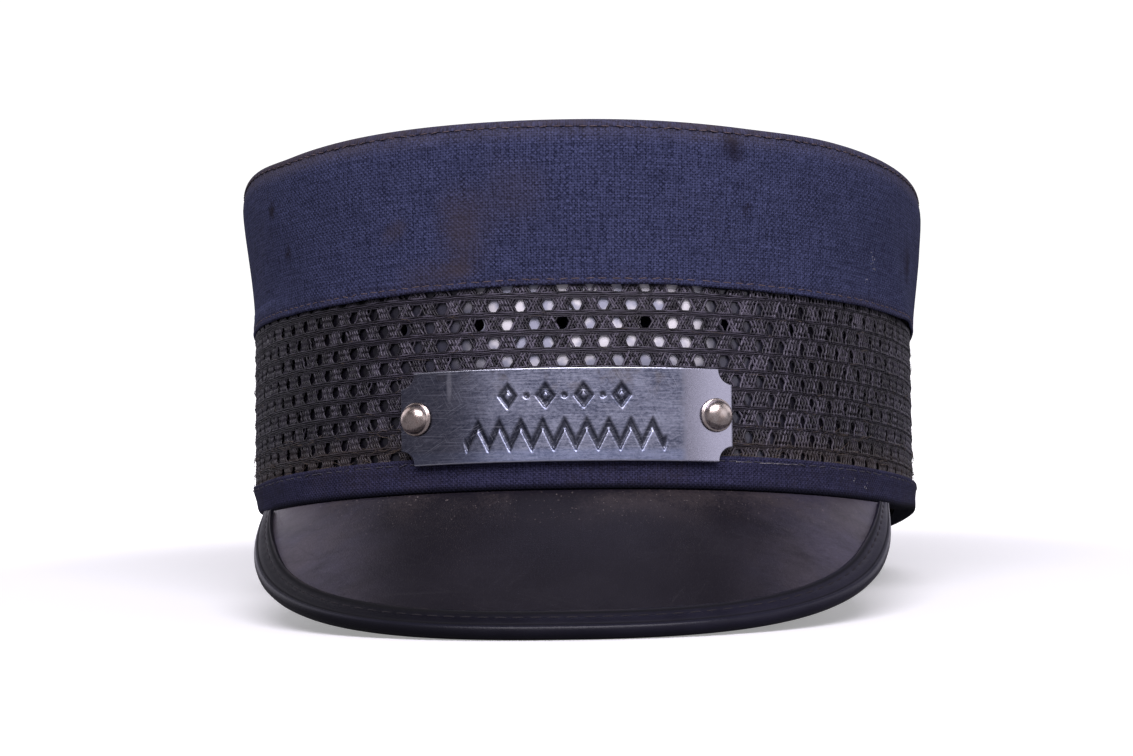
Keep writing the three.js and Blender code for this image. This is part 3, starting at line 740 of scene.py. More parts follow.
def binding_finish():
    """Black glossy leather of the visor's edge, scuffed grey on its ridge, with painted light growing
    towards +X, a painted highlight on its rolled edge and painted shade in its groove and crease.
    """
    material, shade, shader = new_finish("binding_leather", 0.3, 0.22)
    lengths, place = shade.lengths(), shade.place()
    grain = shade.group(leather_grain, Vector=place, Scale=1100.0)
    clouds = shade.noise(place, 90.0, 3.0)
    base = shade.mix(clouds, colour(0.0035, 0.0032, 0.0065), colour(0.0100, 0.0092, 0.0170))
    # painted light and shade: darker at the binding's left end and lighter towards its right
    binding_painted_light_rightwards = shade.mask(shade.split(place)[0], -60.0 * MM, 60.0 * MM)
    base = shade.mix(1.0, base, shade.span(binding_painted_light_rightwards, 0.55, 2.0), "MULTIPLY")
    # painted highlight: the rolled outer edge is lighter
    base = shade.mix(shade.times(shade.mark("roll_highlight"), 0.6), base, colour(0.020, 0.020, 0.032))
    rub = shade.group(dust_cover, Vector=place, Scale=120.0, Low=0.46, High=0.64, Amount=0.6)
    ridge = shade.mark("ridge")
    base = shade.mix(shade.times(ridge, rub["Dust"]), base, colour(0.052, 0.041, 0.043))
    # painted shade: the groove and the crease are darkened to near black
    groove = shade.mark("groove")
    base = shade.mix(shade.times(groove, 0.8), base, colour(0.002, 0.002, 0.003))
    shade.feed(shader.inputs["Base Color"], base)
    matt = shade.math("MULTIPLY_ADD", groove, 0.4, shade.times(shade.mark("roll_highlight"), -0.16))
    shade.feed(shader.inputs["Roughness"], shade.math("ADD", shade.span(clouds, 0.34, 0.54), matt))
    shade.feed(shader.inputs["Normal"], shade.bump(grain["Height"], 0.05 * MM, 0.35))
    return material


def sweatband_finish():
    """Brown leather inside the rim, darkened by wear."""
    material, shade, shader = new_finish("sweatband_leather", 0.55, 0.45)
    place = shade.place()
    grain = shade.group(leather_grain, Vector=place, Scale=700.0)
    clouds = shade.noise(place, 45.0, 4.0, 0.6)
    base = shade.mix(clouds, colour(0.030, 0.017, 0.011), colour(0.095, 0.056, 0.034))
    base = shade.mix(shade.times(grain["Creases"], 0.5), base, colour(0.014, 0.009, 0.007))
    shade.feed(shader.inputs["Base Color"], base)
    shade.feed(shader.inputs["Normal"], shade.bump(grain["Height"], 0.09 * MM, 0.6))
    return material


def badge_finish():
    """Worn plated steel: darker at its left, mottled and scratched in its middle, and smooth at its right
    end, whose brighter colour is partly a painted reflection. The blue band low on the plate is a painted
    reflection and its bright rims are a painted highlight."""
    material, shade, shader = new_finish("badge_metal", 0.3, 0.5, metallic=1.0)
    lengths, place = shade.lengths(), shade.place()
    along, up, _ = shade.split(lengths)
    mottle = shade.noise(shade.stretched(lengths, 0.6, 1.0), 1700.0, 5.0, 0.8)
    streaks = shade.noise(shade.stretched(lengths, 0.05, 1.0), 2400.0, 3.0, 0.7)
    clouds = shade.noise(shade.stretched(lengths, 0.7, 1.0), 95.0, 5.0, 0.7)
    wear = shade.math("MULTIPLY_ADD", mottle, 0.42, shade.times(streaks, 0.28))
    wear = shade.math("MULTIPLY_ADD", clouds, 0.30, wear)
    steel = shade.mix(shade.mask(wear, 0.38, 0.62), colour(0.085, 0.100, 0.160), colour(0.46, 0.48, 0.60))
    # painted reflection: a bright blue band along the plate's lower edge
    badge_painted_reflection_low = shade.times(shade.mask(up, -7.6 * MM, -9.0 * MM), shade.span(clouds, 0.1, 0.9))
    steel = shade.mix(shade.times(badge_painted_reflection_low, 0.6), steel, colour(0.42, 0.50, 0.78))
    brownish = shade.mask(shade.noise(place, 210.0, 4.0), 0.50, 0.68)
    high = shade.mask(up, -1.0 * MM, 9.0 * MM)
    steel = shade.mix(shade.times(shade.times(brownish, high), 0.5), steel, colour(0.20, 0.175, 0.165))
    # darker in patches towards the left end
    darker_left = shade.times(shade.mask(along, -14.0 * MM, -30.0 * MM), shade.span(clouds, 0.55, 1.0))
    steel = shade.mix(shade.times(darker_left, 0.9), steel, colour(0.062, 0.060, 0.078))
    from_middle = shade.distance(up, 0.0)
    # painted highlight: a thin bright line along the plate's top and bottom rims
    badge_painted_edge_highlight = shade.mask(from_middle, BADGE_HEIGHT / 2 - 0.42 * MM, BADGE_HEIGHT / 2 - 0.18 * MM)
    steel = shade.mix(shade.times(badge_painted_edge_highlight, 0.7), steel, colour(0.74, 0.76, 0.84))
    # the right end is smooth and unscratched, and its brighter colour is partly a painted reflection
    smooth_lit_end = shade.mask(along, 27.2 * MM, 29.6 * MM)
    steel = shade.mix(smooth_lit_end, steel, colour(0.50, 0.50, 0.60))
    pressed = shade.mark("pressed")
    steel = shade.mix(shade.times(pressed, 0.85), steel, colour(0.020, 0.022, 0.034))
    scratches = shade.group(hairline_scratches, Vector=lengths, Scale=44.0, Amount=1.0)
    marked = shade.times(scratches["Scratches"], shade.math("SUBTRACT", 1.0, smooth_lit_end))
    steel = shade.mix(shade.times(marked, 0.30), steel, colour(0.70, 0.72, 0.82))
    smear = shade.spot(lengths, -27.8 * MM, 7.6 * MM, 0.6 * MM, 3.6 * MM)
    steel = shade.mix(shade.times(smear, 0.35), steel, colour(0.6, 0.6, 0.66))
    shade.feed(shader.inputs["Base Color"], steel)
    rough = shade.span(mottle, 0.24, 0.46)
    rough = shade.math("SUBTRACT", rough, shade.times(smooth_lit_end, 0.08))
    shade.feed(shader.inputs["Roughness"], rough)
    shade.feed(shader.inputs["Normal"], shade.bump(wear, 0.05 * MM, 0.6))
    return material


def rivet_finish(name, warm):
    """Nickel worn through to the brass. warm is how much brass shows."""
    material, shade, shader = new_finish(name, 0.28, 0.5, metallic=1.0)
    place = shade.place()
    clouds = shade.noise(place, 420.0, 3.0, 0.6)
    light = 1.0 - 0.3 * warm
    green, blue = light * (1 - 0.08 * warm), light * (1 - 0.12 * warm)
    nickel = shade.mix(clouds, colour(0.56 * light, 0.50 * green, 0.46 * blue),
                       colour(0.96 * light, 0.87 * green, 0.80 * blue))
    brass = shade.mask(clouds, 0.62 - 0.2 * warm, 0.40 - 0.2 * warm)
    base = shade.mix(shade.times(brass, 0.2 + 0.6 * warm), nickel, colour(0.40, 0.27, 0.20))
    scratches = shade.group(hairline_scratches, Vector=place, Scale=60.0, Amount=0.7)
    shade.feed(shader.inputs["Base Color"], base)
    shade.feed(shader.inputs["Roughness"],
               shade.math("MULTIPLY_ADD", scratches["Scratches"], 0.15, shade.span(clouds, 0.20, 0.34)))
    return material


THREADS = {
    # the darkest and lightest tone of each
    "brown_thread": (colour(0.048, 0.034, 0.042), colour(0.200, 0.150, 0.162)),
    "navy_thread": (colour(0.022, 0.020, 0.034), colour(0.090, 0.085, 0.105)),
    "black_thread": (colour(0.006, 0.005, 0.007), colour(0.035, 0.030, 0.034)),
    "pale_thread": (colour(0.26, 0.24, 0.27), colour(0.60, 0.57, 0.60)),
}


def thread_finish(name):
    """Sewing thread: two plies twisted together."""
    material, shade, shader = new_finish(name, 0.75, 0.3)
    lengths = shade.lengths()
    twist = shade.node("ShaderNodeTexWave", {"bands_direction": "DIAGONAL"},
                       {"Vector": lengths, "Scale": 900.0, "Distortion": 1.0}).outputs["Fac"]
    patches = shade.noise(shade.place(), 150.0, 2.0)
    share = shade.math("MULTIPLY_ADD", twist, 0.4, shade.times(patches, 0.6))
    shade.feed(shader.inputs["Base Color"], shade.mix(share, *THREADS[name]))
    shade.feed(shader.inputs["Normal"], shade.bump(twist, 0.04 * MM, 0.6))
    return material


def lint_finish():
    material, shade, shader = new_finish("pale_lint", 0.9, 0.2)
    tone = shade.noise(shade.place(), 300.0)
    shade.feed(shader.inputs["Base Color"],
               shade.mix(tone, colour(0.30, 0.27, 0.26), colour(0.78, 0.76, 0.80)))
    return material


# Crown

HEM_LIFTS = [
    # where the hem stands off the straw: place round the cap, half-length and lift, in mm
    {"along": 117, "wide": 16, "lift": 1.0},
    {"along": -104, "wide": 20, "lift": 0.2},
    {"along": 20, "wide": 30, "lift": 0.15},
]


def hem_lift(arc):
    lift = 0
    for place in HEM_LIFTS:
        distance = np.abs(arc / MM - place["along"]) / place["wide"]
        lift = lift + place["lift"] * MM * smooth(distance, 1, 0)
    return lift


HEM_ARCH = 0.7 * MM  # how much higher the hem runs in the middle of the front
HEM_DROP = 0.4 * MM  # and how much lower at the left of it


def hem_wave(angle, arc):
    """How far the hem runs above its plain line."""
    arch = HEM_ARCH * smooth(np.abs(arc - 8.0 * MM), 60.0 * MM, 5.0 * MM)
    drop = HEM_DROP * smooth(np.abs(arc + 72.0 * MM), 36.0 * MM, 0.0)
    return 0.12 * MM * unevenness(angle, 0, 21, [(17, 1), (29, 1), (41, 1)]) + arch - drop


def crown_top_edge(angle):
    """Height of the side's top edge, under the top's overhang."""
    x, y, out_x, out_y = oval(angle)
    reach = HEM_OUTER + CROWN_FLARE
    return top_height(x + out_x * reach, y + out_y * reach) - TOP_WALL


HEM_TUCK = 0.45 * MM  # how much closer to the straw the cloth lies at the -X side, at the crown's hem
SIDE_TUCK = 0.7 * MM  # and how much more above it


def left_side(angle):
    return smooth(np.abs(angle + math.pi / 2), 1.0, 0.3)


def crown_surface_offset(angle, height):
    """How far the side's outer face stands off the oval, with its soft bulges."""
    top = crown_top_edge(angle)
    share = (height - HEM) / (top - HEM)
    flare = CROWN_FLARE * (smooth(share, -0.02, 0.94) - 0.07 * smooth(share, 0.93, 1.0))
    bulges = unevenness(angle, height, 5, [(3, 0.11), (7, 0.06), (12, 0.045), (19, 0.03)])
    creases = unevenness(angle, height, 8, [(31, 0.02), (43, 0.016), (57, 0.012)])
    middle = smooth(share, 0.0, 0.2) * smooth(share, 1.0, 0.8)
    tuck = (HEM_TUCK + SIDE_TUCK * middle) * left_side(angle) * smooth(share, 0.9, 0.2)
    soft = (0.45 * bulges + 0.07 * creases) * MM * (0.35 + 0.65 * middle)
    return HEM_OUTER + flare + soft - tuck


HEM_SEAM = 1.5 * MM  # the hem's stitches above its fold
HEM_FOLD = 0.5 * MM  # the fold's radius
HEM_PUCKER = 3.0 * MM  # the length of a pucker round the hem
TOP_PUCKER = 4.6 * MM  # and under the top's edge


def crown_section(angle, arc):
    top = crown_top_edge(angle)
    rows, v = [], []

    def row(offset, height):
        rows.append((offset + 0 * angle, height + 0 * angle))

    lift = hem_lift(arc)
    wave = hem_wave(angle, arc)
    shares = np.concatenate([np.linspace(0, 0.06, 10)[1:], np.linspace(0.06, 0.94, 34)[1:],
                             np.linspace(0.94, 1, 8)[1:]])
    for turn in np.linspace(-math.pi / 2, 0, 5):
        offset = crown_surface_offset(angle, HEM + HEM_FOLD) - HEM_FOLD * (1 - math.cos(turn)) + lift
        row(offset, HEM + wave + HEM_FOLD * (1 + math.sin(turn)))
        v.append(HEM + HEM_FOLD * (1 + math.sin(turn)))
    start = HEM + HEM_FOLD
    for share in shares:
        height = start + share * (top - start)
        above = height - HEM
        groove = 0.22 * MM * np.exp(-(((above - HEM_SEAM) / (0.35 * MM)) ** 2))
        pucker = 0.09 * MM * np.cos(TURN * arc / HEM_PUCKER) * np.exp(-above / (2.2 * MM))
        below = top - height
        top_pucker = 0.10 * MM * np.cos(TURN * arc / TOP_PUCKER + 2 * np.sin(arc / (19 * MM)))
        offset = crown_surface_offset(angle, height) - groove - pucker
        offset = offset - top_pucker * np.exp(-below / (2.5 * MM)) + lift * np.exp(-above / (5 * MM))
        offset = offset - (TOP_INSET + 0.05 * MM) * smooth(below, 4.0 * MM, 0.0)
        offset = offset - 0.05 * MM * smooth(below, 0.35 * MM, 0.0)
        row(offset, height + wave * (1 - share) ** 8)
        v.append(HEM + HEM_FOLD + share * (TOP_MIDDLE - HEM))
    inner_reach = HEM_OUTER + CROWN_FLARE - CROWN_WALL
    hem_top = STRAW_TOP + GAP
    row(inner_reach, top)
    row((inner_reach - 1.5 * MM) * 0.5 - 0.5 * MM, (top + hem_top) / 2)
    row(HEM_OUTER + 0.14 * CROWN_FLARE - CROWN_WALL, hem_top)
    row(HEM_INNER, hem_top)
    row(HEM_INNER + lift, HEM + HEM_FOLD + wave)
    v += [v[-1] + 2 * MM, 75 * MM, 55 * MM, 53 * MM, 49 * MM]  # for the side's inner face
    offsets = np.stack([r[0] for r in rows])
    heights = np.stack([r[1] for r in rows])
    return offsets, heights, np.array(v)


def below_top_mark(angle, heights):
    return np.broadcast_to(crown_top_edge(angle) + TOP_WALL, heights.shape) - heights


def make_crown_side(cloth):
    piece = ring_piece("crown_side_cloth", crown_section, marks={"below_top": below_top_mark})
    dress(piece, cloth, "navy_cloth", "crown_side")


def make_crown_top(cloth):
    """A cloth disc with a turned edge, slightly domed, sagging a little between its middle and edge."""
    columns = 480
    arc = np.arange(columns) / columns * GIRTH - GIRTH / 2
    angle = angle_at(arc)
    x, y, out_x, out_y = oval(angle)
    reach = HEM_OUTER + CROWN_FLARE - TOP_INSET
    rows, below = [], []

    def row(share, inset, lift, depth):
        edge_x = (x + out_x * (reach - inset)) * share
        edge_y = (y + out_y * (reach - inset)) * share
        sag = unevenness(angle, 0.03 * share, 33, [(2, 0.05), (3, 0.04), (5, 0.03), (8, 0.02)])
        soft = 0.35 * MM * sag * smooth(share, 0.0, 0.5) * smooth(inset, 0.2 * MM, TOP_ROUND)
        height = top_height(edge_x, edge_y) + lift + soft * (depth < 1)
        rows.append(np.stack([edge_x, edge_y, height], -1))
        below.append(np.full(columns, depth))

    for share in (0.02, 0.3, 0.6, 0.9, 0.985):
        row(share, 0.0, -TOP_WALL, 1.0)
    row(1.0, 0.16 * MM, -TOP_WALL, TOP_WALL)
    row(1.0, 0.03 * MM, -TOP_WALL + 0.05 * MM, TOP_WALL)
    for turn in np.linspace(0, math.pi / 2, 10):
        inset, drop = TOP_ROUND * (1 - math.cos(turn)), TOP_ROUND * (1 - math.sin(turn))
        row(1.0, inset, -drop, drop)
    for share in np.concatenate([[0.992, 0.98], np.linspace(0.96, 0.02, 40)]):
        row(share, TOP_ROUND, TOP_DOME * (1 - share ** 2), (1 - share) * 0.09)
    points = np.concatenate(rows)
    faces = tube_faces(len(rows), columns)
    corner_uv = corner_lengths(points[:, :2], faces)
    marks = {"below_top": np.concatenate(below)}
    piece = new_object("crown_top_cloth", world(points), faces, corner_uv, marks)
    dress(piece, cloth, "navy_cloth", "crown_top")


# Straw plait

PLAIT_FOOT = 6.3 * MM
PLAIT_PITCH = 40 / 9 * MM
PLAIT_ROWS = 10
ROW_MIDDLE = 0.56 * PLAIT_PITCH  # from a row's foot to the middle of its holes
HOLES_ROUND = 90
HOLE_STEP = GIRTH / HOLES_ROUND
HOLE_SHIFT = -0.5 * MM  # from the front's middle to the nearest hole of an odd row
STRAND_LEAN = math.radians(63)
STRAND_WIDTH = 0.68 * MM
STRAND_THICK = 0.36 * MM
STRAND_REACH = 1.78 * MM  # how far a strand runs up and down from its row's middle
STRANDS_IN_BAR = 5
STRAND_STEP = 0.74 * MM
LOOSE_STRANDS = 0.12  # the share of a bar's outer strands that stray into a hole
BAR_WIDENING = 0.42  # how much wider the bars are where the holes have closed
BAR_GROWTH = 0.22  # how much taller
RAIL_FADING = 0.4  # how much fainter the rails are there
RAIL_SINK = 0.22 * MM  # and how far they lie in
CROSSING_STEP = 0.72 * MM
WEAVE_DEPTH = 0.15 * MM


def plait_wander(arc, height):
    """How far the rows stray up or down."""
    return 0.22 * MM * unevenness(angle_at(arc), height, 12, [(4, 0.05), (9, 0.03), (23, 0.02)])


def plait_base(share):
    """Offset of a row's middle surface: its foot stands out over the row below, like lapped boards."""
    return (-0.36 - 0.30 * share) * MM


def closed_up(arc):
    """How far the plait's holes have closed: not in the middle of the front, wholly to the right of the
    badge and less at the left."""
    right = smooth(arc, 34.0 * MM, 58.0 * MM)
    left = 0.4 * smooth(-arc, 45.0 * MM, 85.0 * MM)
    return np.maximum(right, left)


def plait_rows(name, rows, straw):
    """Hatched bars of crossing strands, which leave a six-sided hole between each two bars."""
    chance = np.random.default_rng(rows[0] + 70)
    steps = np.array([-STRAND_REACH, *(np.arange(-2, 3) * CROSSING_STEP), STRAND_REACH])
    sections = np.array([(0.5, -0.12), (0.0, 0.55), (-0.5, -0.12)])
    cross_along, cross_up = math.sin(STRAND_LEAN), math.cos(STRAND_LEAN)
    arcs, ups, offsets, tones = [], [], [], []
    for row in rows:
        middle = PLAIT_FOOT + row * PLAIT_PITCH + ROW_MIDDLE
        first = HOLE_SHIFT if row % 2 else HOLE_SHIFT + HOLE_STEP / 2
        bars = first + (np.arange(HOLES_ROUND) + 0.5 - HOLES_ROUND / 2) * HOLE_STEP
        for lean in (1, -1):
            for k in range(STRANDS_IN_BAR):
                place = (k - (STRANDS_IN_BAR - 1) / 2) * STRAND_STEP
                stray = chance.normal(0, 0.05 * MM, HOLES_ROUND)
                if k in (0, STRANDS_IN_BAR - 1):
                    loose = chance.random(HOLES_ROUND) < LOOSE_STRANDS
                    stray += loose * np.sign(place) * chance.uniform(0.2, 0.7, HOLES_ROUND) * MM
                centre = bars + place * (1 + BAR_WIDENING * closed_up(bars)) + stray
                tilt = STRAND_LEAN + chance.normal(0, 0.05, HOLES_ROUND)
                width = STRAND_WIDTH * chance.uniform(0.85, 1.12, HOLES_ROUND)
                raised = chance.normal(0, 0.03 * MM, HOLES_ROUND)
                along = centre[:, None] + lean * steps / np.tan(tilt)[:, None]
                up = middle + steps * (1 + BAR_GROWTH * closed_up(bars))[:, None]
                share = (up - middle + ROW_MIDDLE) / PLAIT_PITCH
                out = plait_base(share) + lean * WEAVE_DEPTH * np.cos(math.pi * steps / CROSSING_STEP)
                out = out + raised[:, None]
                side = sections[:, 0] * width[:, None, None]
                arcs.append(along[..., None] + side * cross_along)
                ups.append(up[..., None] - lean * side * cross_up)
                offsets.append(out[..., None] + sections[:, 1] * STRAND_THICK)
                tone = chance.random(HOLES_ROUND)[:, None, None] ** 2
                tones.append(np.broadcast_to(tone, arcs[-1].shape))
    arc, up, offset = (np.concatenate(part) for part in (arcs, ups, offsets))
    up = up + plait_wander(arc, up)
    points = on_band(arc, up, offset)
    faces = strand_faces(points)
    corner_uv = corner_lengths(np.stack([arc, up], -1), faces)
    marks = {"tone": np.concatenate(tones)}
    piece = new_object(name, points.reshape(-1, 3), faces, corner_uv, marks)
    return dress(piece, straw, "black_straw", "straw_band")


RAIL_CORDS = [
    # up from the line between two rows, offset outwards, half-height and half-thickness in mm; weave is
    # how far the cord dips once for each hole, and light its tone
    {"up": -0.76, "out": -0.54, "tall": 0.22, "thick": 0.22, "weave": 0.05, "light": 0.50},
    {"up": -0.38, "out": -0.44, "tall": 0.24, "thick": 0.24, "weave": 0.03, "light": 0.22},
    {"up": 0.04, "out": -0.32, "tall": 0.27, "thick": 0.26, "weave": 0.04, "light": 0.60},
    {"up": 0.48, "out": -0.22, "tall": 0.28, "thick": 0.24, "weave": 0.14, "light": 0.95},
]
RAIL_STEPS = 600


def rail_cord(cord, line, phase, seed):
    """One cord all round the cap: its points, a row for each of three sides, and its tones."""
    arc = np.arange(RAIL_STEPS) / RAIL_STEPS * GIRTH - GIRTH / 2
    angle = angle_at(arc)
    sections = np.array([(1.0, -0.4), (0.0, 1.0), (-1.0, -0.4)])
    frayed = unevenness(angle, 0, seed, [(53, 1), (97, 1), (151, 1), (211, 1)])
    lift = cord["weave"] * MM * np.cos(TURN * (arc - phase) / HOLE_STEP)
    up = line + cord["up"] * MM + 0.16 * MM * frayed + plait_wander(arc, line)
    bumps = unevenness(angle, 0, seed + 1, [(61, 1), (83, 1), (173, 1)])
    out = cord["out"] * MM + lift + 0.07 * MM * bumps - RAIL_SINK * closed_up(arc)
    ups = up + sections[:, :1] * cord["tall"] * MM
    outs = out + sections[:, 1:] * cord["thick"] * MM
    patchy = 0.5 + 0.5 * unevenness(angle, 0, seed + 2, [(19, 1), (41, 1), (127, 1)])
    # painted highlight and shade: the most woven cord is lighter where it stands out and darker where it
    # dips in
    rail_painted_dash_highlight = smooth(lift, -0.04 * MM, 0.1 * MM) if cord["weave"] > 0.1 else 1.0
    light = cord["light"] * (1 - RAIL_FADING * closed_up(arc))
    tone = 0.05 + light * rail_painted_dash_highlight * (0.3 + 0.7 * patchy)
    return on_band(arc + 0 * ups, ups, outs), np.broadcast_to(tone, ups.shape)


def make_plait_rails(straw):
    """The cords that sew one row of plait to the next. One of them dips under once for each hole."""
    points, faces, flat, tones, start = [], [], [], [], 0
    u = np.arange(RAIL_STEPS + 1) / RAIL_STEPS * GIRTH - GIRTH / 2
    for row in range(PLAIT_ROWS + 1):
        line = PLAIT_FOOT + row * PLAIT_PITCH + ROW_MIDDLE - PLAIT_PITCH / 2
        phase = HOLE_SHIFT + (row % 2) * HOLE_STEP / 2
        for k, cord in enumerate(RAIL_CORDS):
            cord_points, tone = rail_cord(cord, line, phase, 100 * row + 10 * k)
            made, cells = grid_faces(3, RAIL_STEPS, True, True, start)
            points.append(cord_points.reshape(-1, 3))
            faces.append(made)
            flat.append(grid_uv(u, np.full(4, line), cells))
            tones.append(tone.ravel())
            start += 3 * RAIL_STEPS
    marks = {"tone": np.concatenate(tones)}
    piece = new_object("plait_rails", np.concatenate(points), np.concatenate(faces),
                       np.concatenate(flat), marks)
    dress(piece, straw, "black_straw", "straw_band")


def make_fibres(name, roots, directions, lengths, radius, bend, seed):
    """Thin curved fibres. roots and directions are places on the band: along, up and out."""
    chance = np.random.default_rng(seed)
    steps = np.linspace(0, 1, 6)
    curl = chance.uniform(-bend, bend, (len(roots), 3)) * np.array([1, 1, 0.2])
    path = (roots[:, None] + directions[:, None] * (steps[:, None] * lengths[:, None, None])
            + curl[:, None] * (steps ** 2)[:, None] * lengths[:, None, None])
    sides = np.stack([np.cos(np.arange(3) / 3 * TURN), np.sin(np.arange(3) / 3 * TURN)], -1)
    thin = radius * (1 - 0.6 * steps)[None, :, None]
    up = path[..., None, 1] + sides[:, 0] * thin
    out = path[..., None, 2] + sides[:, 1] * thin
    along = path[..., None, 0] + 0 * up
    points = on_band(along, up, out)
    return new_object(name, points.reshape(-1, 3), strand_faces(points))


def make_straw_fibres(finish):
    """Frayed ends of straw, most of them in the lowest rows, lying along the rails."""
    chance = np.random.default_rng(91)
    count = 900
    low = chance.random(count) < 0.7
    along = chance.uniform(-GIRTH / 2, GIRTH / 2, count)
    row = np.where(low, chance.integers(0, 3, count), chance.integers(1, PLAIT_ROWS - 1, count))
    up = PLAIT_FOOT + row * PLAIT_PITCH + chance.normal(0.3 * MM, 0.5 * MM, count)
    up = np.maximum(up, RIM_TOP + 0.2 * MM)
    out = chance.uniform(0.0, 0.25, count) * MM
    lean = chance.normal(0, 0.25, count)
    side = np.sign(chance.uniform(-1, 1, count))
    directions = np.stack([side * np.cos(lean), np.sin(lean), chance.uniform(0, 0.08, count)], -1)
    lengths = chance.uniform(1.2, 4.2, count) * MM
    piece = make_fibres("straw_fibres", np.stack([along, up, out], -1), directions, lengths,
                        0.07 * MM, 0.35, 92)
    dress(piece, finish, "black_straw")


# Liner, rim band and sweatband

LINER_HOLES_ROUND = 29
LINER_HOLE_HEIGHT = 40.0 * MM
LINER_HOLE_RADIUS = 1.65 * MM
LINER_HOLE_SHIFT = -0.7 * MM


def liner_section(angle, arc):
    heights = np.linspace(FLOOR_TOP, STRAW_TOP, 16)
    warp = 0.10 * MM * (unevenness(angle, 0, 61, [(9, 1), (14, 1), (21, 1)]) - 1)
    outer = [(LINER_OUTER + warp * math.sin(math.pi * k / 15), h) for k, h in enumerate(heights)]
    inner = [(LINER_OUTER - LINER_WALL + 0 * angle, h) for h in heights[::-1]]
    offsets = np.stack([o + 0 * angle for o, _ in outer + inner])
    rows = np.array([h for _, h in outer + inner])
    return offsets, rows[:, None] + 0 * angle, rows


def cut_round_holes(piece, arcs, height, radius, depth):
    """Cuts round holes square through the band at these places."""
    cutter_points, cutter_faces = [], []
    sides = 24
    turn = np.arange(sides) / sides * TURN
    for k, arc in enumerate(arcs):
        centre = on_band(np.array([arc]), height, LINER_OUTER)[0]
        out, side = band_directions(arc)
        circle = radius * (np.cos(turn)[:, None] * side + np.sin(turn)[:, None] * CAP_UP)
        cutter_points += [centre + circle + out * depth, centre + circle - out * depth]
        start = k * 2 * sides
        ring = [(start + i, start + (i + 1) % sides, start + sides + (i + 1) % sides, start + sides + i)
                for i in range(sides)]
        cutter_faces += ring + [tuple(range(start, start + sides))[::-1],
                                tuple(range(start + sides, start + 2 * sides))]
    mesh = bpy.data.meshes.new("cutter")
    mesh.from_pydata(np.concatenate(cutter_points).tolist(), [], cutter_faces)
    cutter = add_object("cutter", mesh)
    bm = bmesh.new()
    bm.from_mesh(mesh)
    bmesh.ops.recalc_face_normals(bm, faces=bm.faces)
    bm.to_mesh(mesh)
    bm.free()
    cut = piece.modifiers.new("holes", "BOOLEAN")
    cut.operation = "DIFFERENCE"
    cut.object = cutter
    cut.solver = "EXACT"
    bpy.context.view_layer.update()
    shaped = bpy.data.meshes.new_from_object(piece.evaluated_get(bpy.context.evaluated_depsgraph_get()))
    piece.modifiers.clear()
    piece.data = shaped
    bpy.data.objects.remove(cutter)


def make_liner(finish):
    piece = ring_piece("liner_board", liner_section, round_steps=360, sharp=50)
    arcs = LINER_HOLE_SHIFT + np.arange(LINER_HOLES_ROUND) / LINER_HOLES_ROUND * GIRTH
    cut_round_holes(piece, arcs, LINER_HOLE_HEIGHT, LINER_HOLE_RADIUS, 3 * MM)
    dress(piece, finish, "liner_board", "liner")


RIM_PROFILE = [
    # height above the rim and distance in from the band's outer face, in mm
    (0.0, 1.1), (0.08, 0.75), (0.3, 0.5), (0.75, 0.38), (1.6, 0.32), (2.6, 0.3), (3.6, 0.3), (4.8, 0.22),
    (5.8, 0.12), (6.4, 0.06), (6.85, 0.12), (7.1, 0.14), (7.35, 0.04), (7.8, 0.0), (8.05, 0.12),
    (8.18, 0.3), (8.2, 0.55),
]
RIM_TUCK = 1.0 * MM  # how far the band is drawn in at the -X side
RIM_ROUND = 0.9 * MM  # and how far its lower edge is rounded there


def rim_section(angle, arc):
    rows, heights, v = [], [], []
    soft = 0.16 * MM * unevenness(angle, 0, 71, [(6, 1), (13, 1), (22, 1)])
    pucker = 0.06 * MM * np.cos(TURN * arc / (3.4 * MM))
    for height, inset in RIM_PROFILE:
        middle = smooth(height, 0.0, 3.0) * smooth(height, 8.2, 6.6)
        near_fold = smooth(height, 5.4, 7.0)
        tuck = RIM_TUCK * left_side(angle) * (0.45 + 0.55 * smooth(height, 7.0, 2.0))
        rounding = RIM_ROUND * left_side(angle) * math.exp(-height / 1.1)
        rows.append(BAND_OUTER - inset * MM + soft * middle + pucker * near_fold - tuck - rounding)
        wave = 0.10 * MM * unevenness(angle, 0, 72, [(11, 1), (19, 1), (37, 1)]) * near_fold
        heights.append(height * MM + wave)
        v.append(height * MM)
    tucked = HEM_INNER - 1.1 * RIM_TUCK * left_side(angle)
    opening = SWEATBAND_OUTER - SWEATBAND_WALL
    inside = [(HEM_INNER, 8.0), (tucked, 1.0), (opening, 1.0), (opening - 0.15 * MM, 0.5), (opening, 0.0)]
    for offset, height in inside:
        rows.append(offset + 0 * angle)
        heights.append(height * MM + 0 * angle)
        v.append(-height * MM - 2 * MM)
    return np.stack(rows), np.stack(heights), np.array(v)


def make_rim_band(cloth):
    piece = ring_piece("rim_band_cloth", rim_section, sharp=60)
    dress(piece, cloth, "navy_cloth", "rim_band")


def sweatband_section(angle, arc):
    heights = np.linspace(FLOOR_TOP, SWEATBAND_TOP, 26)
    share = (heights - heights[0]) / (heights[-1] - heights[0])
    ripple = unevenness(angle, 0, 81, [(5, 1), (11, 1), (17, 1)])
    sag = 0.5 * MM * (0.5 + 0.5 * ripple)
    inner = [(SWEATBAND_OUTER - SWEATBAND_WALL + 0.1 * MM - sag * math.sin(math.pi * s) * 0.8, h)
             for s, h in zip(share, heights)]
    outer = [(SWEATBAND_OUTER - sag * math.sin(math.pi * s) * 0.8, h)
             for s, h in zip(share[::-1], heights[::-1])]
    offsets = np.stack([o + 0 * angle for o, _ in inner + outer])
    rows = np.array([h for _, h in inner + outer])
    return offsets, rows[:, None] + 0 * angle, rows


